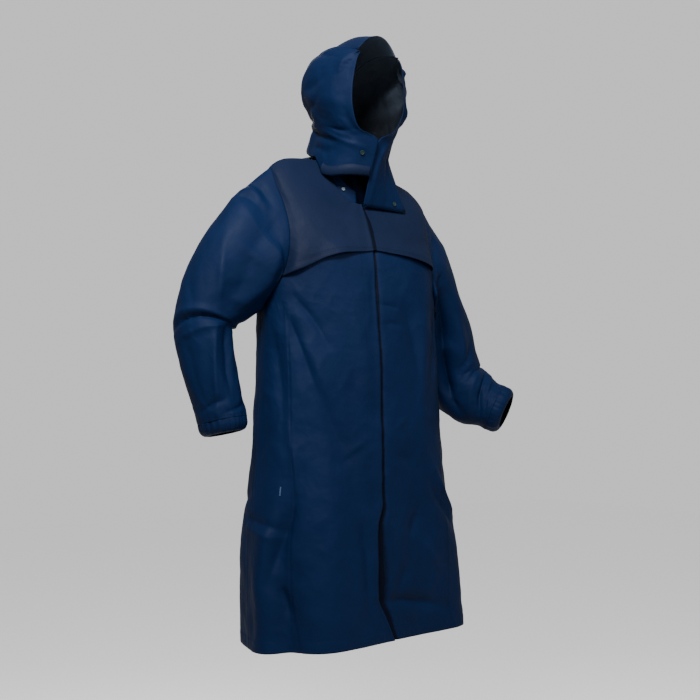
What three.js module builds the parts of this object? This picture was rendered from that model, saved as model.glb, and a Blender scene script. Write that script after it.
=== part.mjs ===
// Long hooded raincoat, filled out as worn, with no wearer in it.
// Millimetres, +Z up. The front faces -Y, +X is the wearer's left side, and the
// origin is the neck base, midway between the shoulders.
import * as THREE from 'three';
import { mergeVertices } from 'three/addons/utils/BufferGeometryUtils.js';

// ---------- driving dimensions ----------
const WALL = 1.5; // cloth thickness
const SEAM_GAP = 0.4; // clear space between two pieces at a seam
const HEM_HEIGHT = -1100;
const SHOULDER_HEIGHT = -64; // shoulder point, where the armhole starts
const UNDERARM_HEIGHT = -352; // lowest point of the armhole
const ARMHOLE_FRONT = 33; // how far the armhole cuts into the front, in degrees round the body
const ARMHOLE_BACK = 30;

// Stance of the body
const SQUARENESS = 0.13; // how far the body's oval is squared below the shoulders
const SQUARE_TOP = -40; // the squaring starts at this height
const SQUARE_FADE = 200; // and is complete this far down
const FRONT_FALL = 1.15; // how evenly a level drops from the side seam to centre front
const SHOULDER_TILT = 0.095; // the wearer's right shoulder is held higher than the left
const TILT_BOTTOM = -420; // height below which the body stands level
const TILT_FADE = 330; // and how far up the tilt becomes full
const HEM_DIP = 10; // the hem hangs lower at the wearer's right
const DIP_TOP = -700; // height where the dip starts
const DIP_WIDTH = 45; // in degrees round the body

// Front overlap and yoke flaps
const FRONT_COLUMNS = 9;
const BACK_COLUMNS = 14;
const OVERLAP_LIFT = 2.6; // the right front lies this far over the left one
const OVERLAP_ANGLE = 9; // width of the lap that it covers, in degrees
const YOKE_LIFT = 1.6; // how far a yoke flap stands off the front under it
const YOKE_FLARE = 5; // and how much more along its loose edge
const YOKE_INSET = 1.1; // its outer edge stops short of the armhole, in degrees
const YOKE_LEFT_START = 1.6; // the left flap's inner edge, in degrees round the body
const YOKE_WIDTH = 60; // nominal width of a flap, in degrees round the body
const YOKE_SHARED_ROWS = 6; // rows that the flap has in common with the front
const YOKE_ROWS = 12;

// Sleeves
const SLEEVE_STAND = 2; // a sleeve's first ring stands this far out of the armhole
const SLEEVE_RISE = 3; // extra clearance reached at the sleeve's second ring
const SLEEVE_CLEARANCE = 6; // a sleeve's underside stays this far off the body
const CUFF_GAP = 0.8; // clear space between a sleeve's end and its gathered cuff

// Collar
const COLLAR_RISE = 36;
const COLLAR_INSET = 2.5; // the collar's foot stands this far inside the neckline
const COLLAR_LEAN = 0.1; // and leans in by this share of its height
const COLLAR_START = 16; // in degrees round the body
const COLLAR_END = 352;

// Hood
const HOOD_WALL = 1.5;
const HOOD_CLEARANCE = 9; // the hood's hem lies this far above the shoulders
const HOOD_BACK = 20; // the point behind the neck axis that the hood's fullness spreads from
const HOOD_LEFT_WIDTH = 1.06; // the hood bulges more on the wearer's left
const HOOD_SIDE_END = 0.9955; // share of a side panel's run that ends at the crown seam
const CROWN_END = 0.985; // share of the crown strip's half width that ends there
const RIGHT_FLAP_LIFT = 7; // the right throat flap lies this far over the left one
const LEFT_FLAP_HEM = -128; // height of the left throat flap's lower edge, which hangs unfastened
const LEFT_FLAP_START = -2; // how far round the body the left throat flap goes, in degrees
const LEFT_FLAP_REACH = 47;
const LEFT_FLAP_STAND = 8; // distance from the body to the left throat flap
const FLAP_SHARE = 0.34; // share of the hood's hem that the left throat flap takes up
const BAND_WIDTH = 0.62; // width of the turned-out hem band, in hood sections
const BAND_STAND = 2.1; // the band's distance from the hood
const BAND_FLARE = 5; // and how much more at its loose lower edge

// Press studs
const SNAP_RADIUS = 6;
const SNAP_HEIGHT = 2.4;
const SNAP_STAND = 0.7; // clear space under a stud
const SNAP_SIDES = 12;

const NAVY = 0x12305c;
const NAVY_SHOULDER = 0x26375c;
const STUD_GREY = 0x7d8a86;
const CLOTH_ROUGHNESS = 0.6;
const STUD_ROUGHNESS = 0.4;
const STUD_METALNESS = 0.6;

// Body levels. side, front, back: height over the side seam, centre front and centre back.
// half: half width. fore, aft: depth to the front and to the back. shift: sideways lean.
const BODY_LEVELS = [
  { side: -18, front: -120, back: 38, half: 80, fore: 58, aft: 70, shift: 0 },
  { side: -25, front: -138, back: 22, half: 132, fore: 68, aft: 82, shift: 0 },
  { side: -37, front: -160, back: -6, half: 176, fore: 82, aft: 92, shift: 0 },
  { side: -64, front: -188, back: -48, half: 208, fore: 95, aft: 98, shift: 0 },
  { side: -116, front: -214, back: -110, half: 218, fore: 106, aft: 103, shift: 0 },
  { side: -184, front: -248, back: -182, half: 223, fore: 115, aft: 106, shift: 0 },
  { side: -262, front: -292, back: -262, half: 225, fore: 121, aft: 108, shift: 0 },
  { side: -352, front: -362, back: -352, half: 227, fore: 127, aft: 109, shift: 0 },
  { side: -460, front: -462, back: -460, half: 230, fore: 131, aft: 110, shift: 1 },
  { side: -580, front: -580, back: -580, half: 235, fore: 133, aft: 112, shift: 1 },
  { side: -700, front: -700, back: -700, half: 243, fore: 134, aft: 116, shift: 3 },
  { side: -780, front: -780, back: -780, half: 252, fore: 135, aft: 120, shift: 5 },
  { side: -840, front: -840, back: -840, half: 262, fore: 137, aft: 124, shift: 8 },
  { side: -920, front: -920, back: -920, half: 268, fore: 140, aft: 128, shift: 12 },
  { side: -1100, front: -1100, back: -1100, half: 270, fore: 144, aft: 132, shift: 20 },
];

// Large folds of the skirt. angle: place round the body at the hem, 0 at centre front and
// 90 at the wearer's left. top: where it starts. width in degrees, depth outwards in mm,
// lean: how far it turns, in degrees per metre going up.
const BODY_FOLDS = [
  { angle: -31, top: -560, width: 20, depth: 34, lean: 6 },
  { angle: -52, top: -700, width: 9, depth: -15, lean: -14 },
  { angle: -70, top: -760, width: 13, depth: 16, lean: 4 },
  { angle: 22, top: -620, width: 24, depth: -22, lean: 0 },
  { angle: 66, top: -780, width: 14, depth: 12, lean: 8 },
  { angle: 118, top: -640, width: 15, depth: 16, lean: 10 },
  { angle: 150, top: -700, width: 12, depth: -15, lean: -8 },
  { angle: 178, top: -560, width: 14, depth: 18, lean: 4 },
  { angle: 208, top: -720, width: 12, depth: -14, lean: 8 },
  { angle: 238, top: -660, width: 15, depth: 17, lean: -6 },
];

// Closing edge of the right front and of the left front, as angles round the body.
const CLOSING_EDGE = [
  { height: -18, right: -1.5, left: -9 },
  { height: -800, right: -0.5, left: -8 },
  { height: -850, right: -4, left: -7 },
  { height: -1000, right: -5, left: -6 },
  { height: -1050, right: -1, left: -5 },
  { height: -1100, right: 3, left: 4.5 },
];

// Lower edge of each yoke flap, as a height over the angle away from centre front.
const YOKE_EDGE_RIGHT = [
  { angle: 0, height: -235 },
  { angle: 30, height: -256 },
  { angle: 50, height: -292 },
  { angle: 90, height: -330 },
];
const YOKE_EDGE_LEFT = [
  { angle: 0, height: -232 },
  { angle: 30, height: -242 },
  { angle: 50, height: -252 },
  { angle: 90, height: -262 },
];

// Rings of each sleeve from the armhole to the wrist. over: radius across the bend,
// round: radius to the front and back. blend: 0 keeps the armhole's shape, 1 is the oval.
const SLEEVE_RIGHT = [
  { x: -246, y: 2, z: -222, over: 120, round: 86, blend: 0.62 },
  { x: -291, y: 8, z: -288, over: 103, round: 82, blend: 0.92 },
  { x: -335, y: 13, z: -350, over: 86, round: 75, blend: 1 },
  { x: -361, y: 14, z: -404, over: 68, round: 69, blend: 1 },
  { x: -359, y: 8, z: -450, over: 61, round: 65, blend: 1 },
  { x: -350, y: -6, z: -516, over: 58, round: 60, blend: 1 },
  { x: -337, y: -18, z: -580, over: 54, round: 56, blend: 1 },
  { x: -331, y: -24, z: -618, over: 53, round: 54, blend: 1 },
];
const SLEEVE_LEFT = [
  { x: 230, y: 6, z: -252, over: 104, round: 84, blend: 0.55 },
  { x: 262, y: 28, z: -326, over: 84, round: 82, blend: 0.9 },
  { x: 304, y: 46, z: -400, over: 84, round: 78, blend: 1 },
  { x: 336, y: 56, z: -474, over: 84, round: 78, blend: 1 },
  { x: 362, y: 44, z: -528, over: 80, round: 74, blend: 1 },
  { x: 392, y: 14, z: -558, over: 74, round: 66, blend: 1 },
  { x: 413, y: -10, z: -574, over: 62, round: 56, blend: 1 },
  { x: 428, y: -28, z: -584, over: 60, round: 56, blend: 1 },
];
const ELBOW_UP = new THREE.Vector3(0, 1, 0); // each ring's round axis lies nearest to this

// Elasticated end of a sleeve: along the arm past the sleeve's end, and share of its radius.
const CUFF_RINGS = [
  { along: 0, share: 1 },
  { along: 14, share: 0.98 },
  { along: 24, share: 0.86 },
  { along: 27, share: 0.7 },
];

// Sections of the hood, fanning from the neck hem round to the brim.
// face: edge towards the face. seam: edge on the crown strip. half: greatest half width.
const HOOD_EDGES = [
  { faceX: 2, faceY: -88, faceZ: -58, seamX: 44, seamY: 82, seamZ: 44, half: 92 },
  { faceX: 4, faceY: -100, faceZ: -22, seamX: 45, seamY: 68, seamZ: 76, half: 86 },
  { faceX: 12, faceY: -116, faceZ: 24, seamX: 47, seamY: 68, seamZ: 98, half: 92 },
  { faceX: 48, faceY: -121, faceZ: 46, seamX: 49, seamY: 78, seamZ: 120, half: 103 },
  { faceX: 66, faceY: -127, faceZ: 84, seamX: 50, seamY: 90, seamZ: 152, half: 113 },
  { faceX: 69, faceY: -129, faceZ: 122, seamX: 50, seamY: 92, seamZ: 192, half: 116 },
  { faceX: 66, faceY: -131, faceZ: 158, seamX: 51, seamY: 70, seamZ: 231, half: 111 },
  { faceX: 62, faceY: -133, faceZ: 184, seamX: 51, seamY: 16, seamZ: 252, half: 97 },
  { faceX: 58, faceY: -134, faceZ: 200, seamX: 51, seamY: -58, seamZ: 247, half: 78 },
  { faceX: 52, faceY: -135, faceZ: 213, seamX: 50, seamY: -124, seamZ: 224, half: 57 },
];
// The same sections. crown: middle of the crown strip. faceTurn, seamTurn: share of the
// section's run from front to back that is spent turning at each edge.
const HOOD_CROWN = [
  { crownY: 89, crownZ: 45, faceTurn: 0, seamTurn: 0.08 },
  { crownY: 78, crownZ: 77, faceTurn: 0, seamTurn: 0.1 },
  { crownY: 79, crownZ: 99, faceTurn: 0, seamTurn: 0.12 },
  { crownY: 90, crownZ: 122, faceTurn: 0.16, seamTurn: 0.15 },
  { crownY: 105, crownZ: 156, faceTurn: 0.24, seamTurn: 0.18 },
  { crownY: 110, crownZ: 204, faceTurn: 0.28, seamTurn: 0.22 },
  { crownY: 78, crownZ: 254, faceTurn: 0.3, seamTurn: 0.3 },
  { crownY: 16, crownZ: 281, faceTurn: 0.3, seamTurn: 0.3 },
  { crownY: -60, crownZ: 282, faceTurn: 0.3, seamTurn: 0.3 },
  { crownY: -136, crownZ: 260, faceTurn: 0.3, seamTurn: 0.3 },
];

// ---------- small helpers ----------
const radians = (degrees) => (degrees * Math.PI) / 180;
const clamp01 = (value) => Math.min(1, Math.max(0, value));
const mix = (a, b, t) => a + (b - a) * t;
const smooth = (t) => clamp01(t) ** 2 * (3 - 2 * clamp01(t));
const bell = (distance, width) => Math.exp(-((distance / width) ** 2));

// Signed difference of two angles in degrees.
const turnBetween = (angle, from) => ((((angle - from + 180) % 360) + 360) % 360) - 180;

// One column of a table at a place along its key column, with soft (Catmull-Rom) joins.
function column(table, key, place, name) {
  const rising = table[table.length - 1][key] > table[0][key] ? 1 : -1;
  let row = 0;
  while (row < table.length - 2 && rising * (place - table[row + 1][key]) > 0) row += 1;
  const low = table[row];
  const high = table[row + 1];
  const before = table[Math.max(0, row - 1)];
  const after = table[Math.min(table.length - 1, row + 2)];
  const span = high[key] - low[key];
  const t = clamp01((place - low[key]) / span);
  const slopeLow = ((high[name] - before[name]) / (high[key] - before[key])) * span;
  const slopeHigh = ((after[name] - low[name]) / (after[key] - low[key])) * span;
  const t2 = t * t;
  const t3 = t2 * t;
  return (
    (2 * t3 - 3 * t2 + 1) * low[name] +
    (t3 - 2 * t2 + t) * slopeLow +
    (3 * t2 - 2 * t3) * high[name] +
    (t3 - t2) * slopeHigh
  );
}

// Evenly numbered steps between two values.
const steps = (from, to, count) => Array.from({ length: count + 1 }, (_, i) => mix(from, to, i / count));

// Outward direction of a surface function by small steps either way.
function slopeNormal(place, u, v, rising) {
  const along = place(u + 1e-3 * rising, v).sub(place(u - 1e-3 * rising, v));
  const across = place(u, v + 0.012).sub(place(u, v - 0.012));
  return along.cross(across).normalize();
}

// A closed cloth wall from a surface function place(u, v): an outer skin, an inner skin one
// wall further in, and the rims between them. ring: the v direction closes on itself.
// flip: the surface's u and v run the other way round. normalAt: its outward direction.
function clothWall(place, us, vs, { ring = false, wall = WALL, flip = false, normalAt } = {}) {
  const rising = us[us.length - 1] > us[0] ? 1 : -1;
  const columns = vs.length;
  const positions = [];
  const inner = [];
  for (const u of us) {
    for (const v of vs) {
      const normal = normalAt ? normalAt(u, v) : slopeNormal(place, u, v, rising);
      if (flip && !normalAt) normal.negate();
      const point = place(u, v);
      positions.push(point);
      inner.push(point.clone().addScaledVector(normal, -wall));
    }
  }
  const offset = positions.length;
  const all = positions.concat(inner);
  const faces = [];
  const quad = (a, b, c, d) => {
    if (flip) faces.push(a, c, b, a, d, c);
    else faces.push(a, b, c, a, c, d);
  };
  const index = (i, j) => i * columns + (j % columns);
  const lastColumn = ring ? columns : columns - 1;
  for (let i = 0; i < us.length - 1; i += 1) {
    for (let j = 0; j < lastColumn; j += 1) {
      const [a, b, c, d] = [index(i, j), index(i + 1, j), index(i + 1, j + 1), index(i, j + 1)];
      quad(a, b, c, d);
      quad(a + offset, d + offset, c + offset, b + offset);
    }
  }
  for (let j = 0; j < lastColumn; j += 1) {
    const [a, b] = [index(0, j), index(0, j + 1)];
    quad(a, b, b + offset, a + offset);
    const [c, d] = [index(us.length - 1, j), index(us.length - 1, j + 1)];
    quad(d, c, c + offset, d + offset);
  }
  if (!ring) {
    for (let i = 0; i < us.length - 1; i += 1) {
      const [a, b] = [index(i, 0), index(i + 1, 0)];
      quad(b, a, a + offset, b + offset);
      const [c, d] = [index(i, columns - 1), index(i + 1, columns - 1)];
      quad(c, d, d + offset, c + offset);
    }
  }
  const geometry = new THREE.BufferGeometry();
  const flat = all.flatMap((point) => point.toArray());
  geometry.setAttribute('position', new THREE.Float32BufferAttribute(flat, 3));
  geometry.setIndex(faces);
  geometry.computeVertexNormals();
  return geometry;
}

// ---------- body ----------
// Outward travel of the folds at a place on the body.
function foldTravel(angle, height) {
  let travel = 0;
  for (const fold of BODY_FOLDS) {
    const centre = fold.angle + (fold.lean * (height - HEM_HEIGHT)) / 1000;
    const away = turnBetween(angle, centre);
    const strength = smooth((fold.top - height) / (fold.top - HEM_HEIGHT));
    travel += fold.depth * strength * bell(away, fold.width);
  }
  return travel;
}

// A point on the body. angle: degrees from centre front towards the wearer's left.
// height: the level's height at the side seam.
function bodySurface(angle, height) {
  const sine = Math.sin(radians(angle));
  const cosine = Math.cos(radians(angle));
  const level = (name) => column(BODY_LEVELS, 'side', height, name);
  const [depth, middle, fall] = cosine > 0
    ? [level('fore'), level('front'), cosine ** FRONT_FALL]
    : [level('aft'), level('back'), cosine ** 2];
  const squareness = SQUARENESS * smooth((SQUARE_TOP - height) / SQUARE_FADE);
  const x = level('half') * sine * (1 + squareness * cosine ** 2);
  const y = -depth * cosine * (1 + squareness * sine ** 2);
  const outward = new THREE.Vector3(sine * depth, -cosine * level('half'), 0).normalize();
  const travel = foldTravel(angle, height);
  const hanging = smooth((DIP_TOP - height) / (DIP_TOP - HEM_HEIGHT));
  const dip = HEM_DIP * hanging * bell(turnBetween(angle, -90), DIP_WIDTH);
  const towardsSide = smooth(1.6 * Math.abs(sine) - 0.3);
  const tilt = SHOULDER_TILT * smooth((height - TILT_BOTTOM) / TILT_FADE) * towardsSide;
  return new THREE.Vector3(
    x + level('shift') + outward.x * travel,
    y + outward.y * travel,
    height + (middle - height) * fall - tilt * x - dip,
  );
}

// Outward direction of the body's surface.
function bodyNormal(angle, height) {
  const across = bodySurface(angle + 1.5, height).sub(bodySurface(angle - 1.5, height));
  const up = bodySurface(angle, height + 2).sub(bodySurface(angle, height - 2));
  return across.cross(up).normalize();
}

// A point on the body, lifted off its surface.
function bodyPoint(angle, height, lift = 0) {
  const point = bodySurface(angle, height);
  return lift ? point.addScaledVector(bodyNormal(angle, height), lift) : point;
}

// Half opening of the armhole at a height, in degrees either way from the side.
function armholeReach(height, widest) {
  const middle = (SHOULDER_HEIGHT + UNDERARM_HEIGHT) / 2;
  const k = (height - middle) / ((SHOULDER_HEIGHT - UNDERARM_HEIGHT) / 2);
  return Math.abs(k) < 1 ? widest * (1 - k * k) ** 0.5 : 0;
}

const SHOULDER_ROWS = steps(BODY_LEVELS[0].side, SHOULDER_HEIGHT, 3);
const ARMHOLE_STEPS = 10;
const ARMHOLE_ROWS = steps(0, 180, ARMHOLE_STEPS).map((turn) =>
  mix(UNDERARM_HEIGHT, SHOULDER_HEIGHT, (1 + Math.cos(radians(turn))) / 2),
);
const SKIRT_ROWS = steps(UNDERARM_HEIGHT, HEM_HEIGHT, 11);
const BODY_ROWS = [...SHOULDER_ROWS, ...ARMHOLE_ROWS.slice(1, -1), ...SKIRT_ROWS];

// A body panel between two limits given as angles at each height.
function bodyPanel(fromAngle, toAngle, columns, lift = () => 0, rows = BODY_ROWS) {
  const angleAt = (height, share) => mix(fromAngle(height), toAngle(height), share);
  const place = (height, share) => {
    const angle = angleAt(height, share);
    return bodyPoint(angle, height, lift(angle));
  };
  const normalAt = (height, share) => bodyNormal(angleAt(height, share), height);
  return clothWall(place, rows, steps(0, 1, columns), { normalAt });
}

// Angle that a gap takes up at a height.
function gapAngle(height, gap = SEAM_GAP) {
  return (gap / 2 / column(BODY_LEVELS, 'side', height, 'half')) * (180 / Math.PI);
}

const closing = (height, side) => column(CLOSING_EDGE, 'height', height, side);
const frontLimit = (height) => 90 - armholeReach(height, ARMHOLE_FRONT) - gapAngle(height);
const backLimit = (height) => 90 + armholeReach(height, ARMHOLE_BACK) + gapAngle(height);

// The right front rises over the left one near the closing.
function overlapLift(angle) {
  return OVERLAP_LIFT * smooth((angle + 2 * OVERLAP_ANGLE) / OVERLAP_ANGLE);
}

function rightFront() {
  const edge = (height) => closing(height, 'right');
  return bodyPanel((height) => -frontLimit(height), edge, FRONT_COLUMNS, overlapLift);
}

function leftFront() {
  const edge = (height) => closing(height, 'left');
  return bodyPanel(edge, frontLimit, FRONT_COLUMNS);
}

function backPanel() {
  return bodyPanel(backLimit, (height) => 360 - backLimit(height), BACK_COLUMNS);
}

// Height of a yoke's lower edge at an angle away from centre front.
const yokeEdge = (table, angle) => column(table, 'angle', Math.min(90, Math.abs(angle)), 'height');

// Yoke flap: the front's own points from the neck to the yoke's edge, moved out. It keeps to
// the front's rows over the shoulder, and runs evenly from there to its lower edge.
function yoke(side) {
  const table = side < 0 ? YOKE_EDGE_RIGHT : YOKE_EDGE_LEFT;
  const place = (row, across) => {
    const whole = Math.max(0, Math.min(Math.floor(row), YOKE_SHARED_ROWS - 1));
    const shared = mix(BODY_ROWS[whole], BODY_ROWS[whole + 1], row - whole);
    const rough = side * mix(0, YOKE_WIDTH, across);
    const low = sideHeight(rough, yokeEdge(table, rough));
    const fallen = (row - YOKE_SHARED_ROWS) / (YOKE_ROWS - YOKE_SHARED_ROWS);
    const height = row <= YOKE_SHARED_ROWS ? shared : mix(BODY_ROWS[YOKE_SHARED_ROWS], low, fallen);
    const middle = side < 0 ? closing(height, 'right') : YOKE_LEFT_START;
    const angle = mix(middle, side * (frontLimit(height) - YOKE_INSET), across);
    const base = side < 0 ? overlapLift(angle) : 0;
    const flare = YOKE_FLARE * smooth((fallen - 0.6) / 0.4) * smooth((across - 0.1) / 0.3);
    return bodyPoint(angle, height, WALL + YOKE_LIFT + base + flare);
  };
  const rows = steps(0, YOKE_ROWS, YOKE_ROWS);
  return clothWall(place, rows, steps(0, 1, FRONT_COLUMNS), { flip: side < 0 });
}

// Side-seam height of the level that passes through a true height at an angle.
function sideHeight(angle, trueHeight) {
  let high = BODY_LEVELS[0].side;
  let low = HEM_HEIGHT;
  for (let round = 0; round < 30; round += 1) {
    const middle = (high + low) / 2;
    if (bodyPoint(angle, middle).z > trueHeight) high = middle;
    else low = middle;
  }
  return (high + low) / 2;
}

// ---------- sleeves ----------
// The armhole's edge as a loop: 0 at the shoulder point, 0.5 at the underarm, front first.
function armholePoint(side, turn) {
  const wrapped = ((turn % 1) + 1) % 1;
  const front = wrapped <= 0.5;
  const along = front ? wrapped * 2 : 2 - wrapped * 2;
  const height = mix(SHOULDER_HEIGHT, UNDERARM_HEIGHT, (1 - Math.cos(Math.PI * along)) / 2);
  const reach = front ? -armholeReach(height, ARMHOLE_FRONT) : armholeReach(height, ARMHOLE_BACK);
  return bodyPoint(side * (90 + reach), height);
}

// Moves a sleeve's point out of the body, to stand clear of it.
function clearOfBody(point, side, clearance) {
  let angle = side * 90;
  let height = point.z;
  for (let round = 0; round < 3; round += 1) {
    const half = column(BODY_LEVELS, 'side', height, 'half');
    const depth = column(BODY_LEVELS, 'side', height, point.y < 0 ? 'fore' : 'aft');
    angle = (Math.atan2(point.x / half, -point.y / depth) * 180) / Math.PI;
    height = sideHeight(angle, point.z);
  }
  const normal = bodyNormal(angle, height);
  const proud = point.clone().sub(bodySurface(angle, height)).dot(normal);
  if (proud < clearance) point.addScaledVector(normal, clearance - proud);
  return point;
}

// Middle of the armhole.
const armholeCentre = (side) => bodySurface(side * 90, (SHOULDER_HEIGHT + UNDERARM_HEIGHT) / 2);

// Start of a sleeve: the armhole's edge, moved in by a wall.
function sleeveStart(side, turn) {
  const loop = armholePoint(side, turn);
  const inward = armholeCentre(side).sub(loop).normalize();
  return loop.addScaledVector(inward, WALL + SEAM_GAP).add(new THREE.Vector3(side * SLEEVE_STAND, 0, 0));
}

// Point of a sleeve. ring may be a fraction between two rows of the table. reach: distance
// along the arm past the ring. share: part of the ring's radius.
function sleevePoint(side, table, ring, turn, reach = 0, share = 1) {
  const start = sleeveStart(side, turn);
  if (ring < 1) {
    const first = sleevePoint(side, table, 1, turn);
    const between = start.clone().lerp(first, ring);
    return ring <= 0 ? between : clearOfBody(between, side, SLEEVE_STAND + SLEEVE_RISE * ring);
  }
  const keyed = table.map((row, number) => ({ ...row, number: number + 1 }));
  const at = (name, place = ring) => column(keyed, 'number', place, name);
  const centreAt = (place) => new THREE.Vector3(at('x', place), at('y', place), at('z', place));
  const ahead = Math.min(table.length, ring + 0.4);
  const behind = Math.max(1, ring - 0.4);
  const arm = centreAt(ahead).sub(centreAt(behind)).normalize();
  const round = ELBOW_UP.clone().addScaledVector(arm, -ELBOW_UP.dot(arm)).normalize();
  const over = new THREE.Vector3().crossVectors(round, arm).normalize();
  if (over.x * side + over.z < 0) over.negate();
  const angle = turn * 2 * Math.PI;
  const oval = centreAt(ring)
    .addScaledVector(over, Math.cos(angle) * at('over') * share)
    .addScaledVector(round, -Math.sin(angle) * at('round') * share)
    .addScaledVector(arm, reach);
  const moved = start.add(centreAt(ring)).sub(armholeCentre(side));
  return clearOfBody(oval.lerp(moved, 1 - at('blend')), side, SLEEVE_CLEARANCE);
}

const SLEEVE_TURNS = steps(0, 1, 2 * ARMHOLE_STEPS).slice(0, -1);

function sleeve(side, table) {
  const rings = [0, 0.45, ...steps(1, table.length, 2 * (table.length - 1) - 3)];
  const place = (ring, turn) => sleevePoint(side, table, ring, turn);
  return clothWall(place, rings, SLEEVE_TURNS, { ring: true, flip: side > 0 });
}

function cuff(side, table) {
  const keyed = CUFF_RINGS.map((row, number) => ({ ...row, number }));
  const place = (ring, turn) => {
    const along = column(keyed, 'number', ring, 'along') + CUFF_GAP;
    const share = column(keyed, 'number', ring, 'share');
    return sleevePoint(side, table, table.length, turn, along, share);
  };
  const rings = steps(0, CUFF_RINGS.length - 1, CUFF_RINGS.length);
  return clothWall(place, rings, SLEEVE_TURNS, { ring: true, flip: side > 0 });
}

// ---------- collar and hood ----------
// Point of the low neck band, which stands on the neckline and is open at the throat.
// share: 0 at the foot, 1 at the top. turn: from the left end round the back to the right end.
function collarPoint(share, turn) {
  const base = bodyPoint(mix(COLLAR_START, COLLAR_END, turn), BODY_LEVELS[0].side);
  const inward = new THREE.Vector3(-base.x, -base.y, 0).normalize();
  const rise = COLLAR_RISE * share;
  base.addScaledVector(inward, COLLAR_INSET + COLLAR_LEAN * rise);
  return base.add(new THREE.Vector3(0, 0, rise));
}

const collar = () => clothWall(collarPoint, steps(0, 1, 2), steps(0, 1, 26), { flip: true });

const HOOD_SECTIONS = HOOD_EDGES.map((row, number) => ({ ...row, ...HOOD_CROWN[number], number }));
const HOOD_LAST = HOOD_SECTIONS.length - 1;
const hoodAt = (section, name) => column(HOOD_SECTIONS, 'number', section, name);

// Height of the body's surface under a place near the neck.
function heightUnder(x, y) {
  let inner = BODY_LEVELS[0].side;
  let outer = UNDERARM_HEIGHT;
  for (let round = 0; round < 24; round += 1) {
    const middle = (inner + outer) / 2;
    const depth = column(BODY_LEVELS, 'side', middle, y < 0 ? 'fore' : 'aft');
    const half = column(BODY_LEVELS, 'side', middle, 'half');
    if ((x / half) ** 2 + (y / depth) ** 2 > 1) inner = middle;
    else outer = middle;
  }
  const depth = column(BODY_LEVELS, 'side', inner, y < 0 ? 'fore' : 'aft');
  const half = column(BODY_LEVELS, 'side', inner, 'half');
  const angle = (Math.atan2(x / half, -y / depth) * 180) / Math.PI;
  return bodyPoint(angle, inner).z;
}

// Point of a hood side panel. section: along the fan. share: 0 at the face, 1 at the crown seam.
function hoodPoint(side, section, share, lift = 0) {
  const point = hoodShape(side, section, share);
  if (section < 1) {
    const hem = hoodShape(side, 0, share);
    const lowered = hoodHemPoint(side, hem, share);
    point.addScaledVector(lowered.sub(hem), (1 - section) ** 1.3);
  }
  const away = new THREE.Vector3(point.x + side, point.y + HOOD_BACK, 0).normalize();
  const throat = smooth((3 - section) / 1.2) * (1 - smooth(share * 2.5));
  return point.addScaledVector(away, lift + (side < 0 ? RIGHT_FLAP_LIFT * throat : 0));
}

// The hood's lower edge: free in front, resting just above the shoulders behind.
function hoodHemPoint(side, hem, share) {
  const rested = hem.clone();
  const backwards = smooth((share - 0.3) / 0.7);
  const rise = mix(hoodAt(0, 'faceZ'), hoodAt(0, 'seamZ'), backwards);
  rested.z = Math.max(rise, heightUnder(hem.x, hem.y) + HOOD_CLEARANCE);
  if (side < 0) return rested;
  const angle = mix(LEFT_FLAP_START, LEFT_FLAP_REACH, Math.min(1, share / FLAP_SHARE));
  const flap = bodyPoint(angle, sideHeight(angle, LEFT_FLAP_HEM), LEFT_FLAP_STAND);
  return flap.lerp(rested, smooth((share - 0.9 * FLAP_SHARE) / (0.5 * FLAP_SHARE)));
}

// The hood before its hem is laid: each section is a cubic curve from the face to the seam.
function hoodShape(side, section, share) {
  const at = (name) => hoodAt(section, name);
  const faceX = side < 0 ? at('faceX') * mix(-1, 1, smooth(section - 1.6)) : at('faceX');
  const fullX = (8 * at('half') - faceX - at('seamX')) / 6; // puts the curve's middle at half
  const run = at('seamY') - at('faceY');
  const curve = (start, leave, arrive, end) =>
    (1 - share) ** 3 * start +
    3 * share * (1 - share) ** 2 * leave +
    3 * share ** 2 * (1 - share) * arrive +
    share ** 3 * end;
  const x = curve(faceX, fullX, fullX, at('seamX'));
  const leaveY = at('faceY') + at('faceTurn') * run;
  const arriveY = at('seamY') - at('seamTurn') * run;
  const widened = side < 0 ? 1 : mix(1, HOOD_LEFT_WIDTH, smooth((section - 3) / 2));
  return new THREE.Vector3(
    side * x * widened,
    curve(at('faceY'), leaveY, arriveY, at('seamY')),
    mix(at('faceZ'), at('seamZ'), smooth(share)),
  );
}

const HOOD_ROWS = steps(0, HOOD_LAST, 12);

function hoodSide(side) {
  const place = (section, share) => hoodPoint(side, section, share);
  return clothWall(place, HOOD_ROWS, steps(0, HOOD_SIDE_END, 11), { wall: HOOD_WALL, flip: side > 0 });
}

// Crown strip between the two side panels, crowned across.
function hoodCrown() {
  const place = (section, across) => {
    const left = hoodPoint(1, section, 1);
    const right = hoodPoint(-1, section, 1);
    const middle = left.clone().add(right).multiplyScalar(0.5);
    const top = new THREE.Vector3(0, hoodAt(section, 'crownY'), hoodAt(section, 'crownZ'));
    const point = right.lerp(left, (across + 1) / 2);
    return point.addScaledVector(top.sub(middle), 1 - across ** 2);
  };
  return clothWall(place, HOOD_ROWS, steps(-CROWN_END, CROWN_END, 6), { wall: HOOD_WALL, flip: true });
}

// Turned-out lower edge of the right throat flap.
function hoodHem() {
  const standing = (section) => BAND_STAND + BAND_FLARE * (BAND_WIDTH - section);
  const place = (section, share) => hoodPoint(-1, section, share, standing(section));
  return clothWall(place, steps(0.02, BAND_WIDTH, 2), steps(0.03, 0.5, 8));
}

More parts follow.
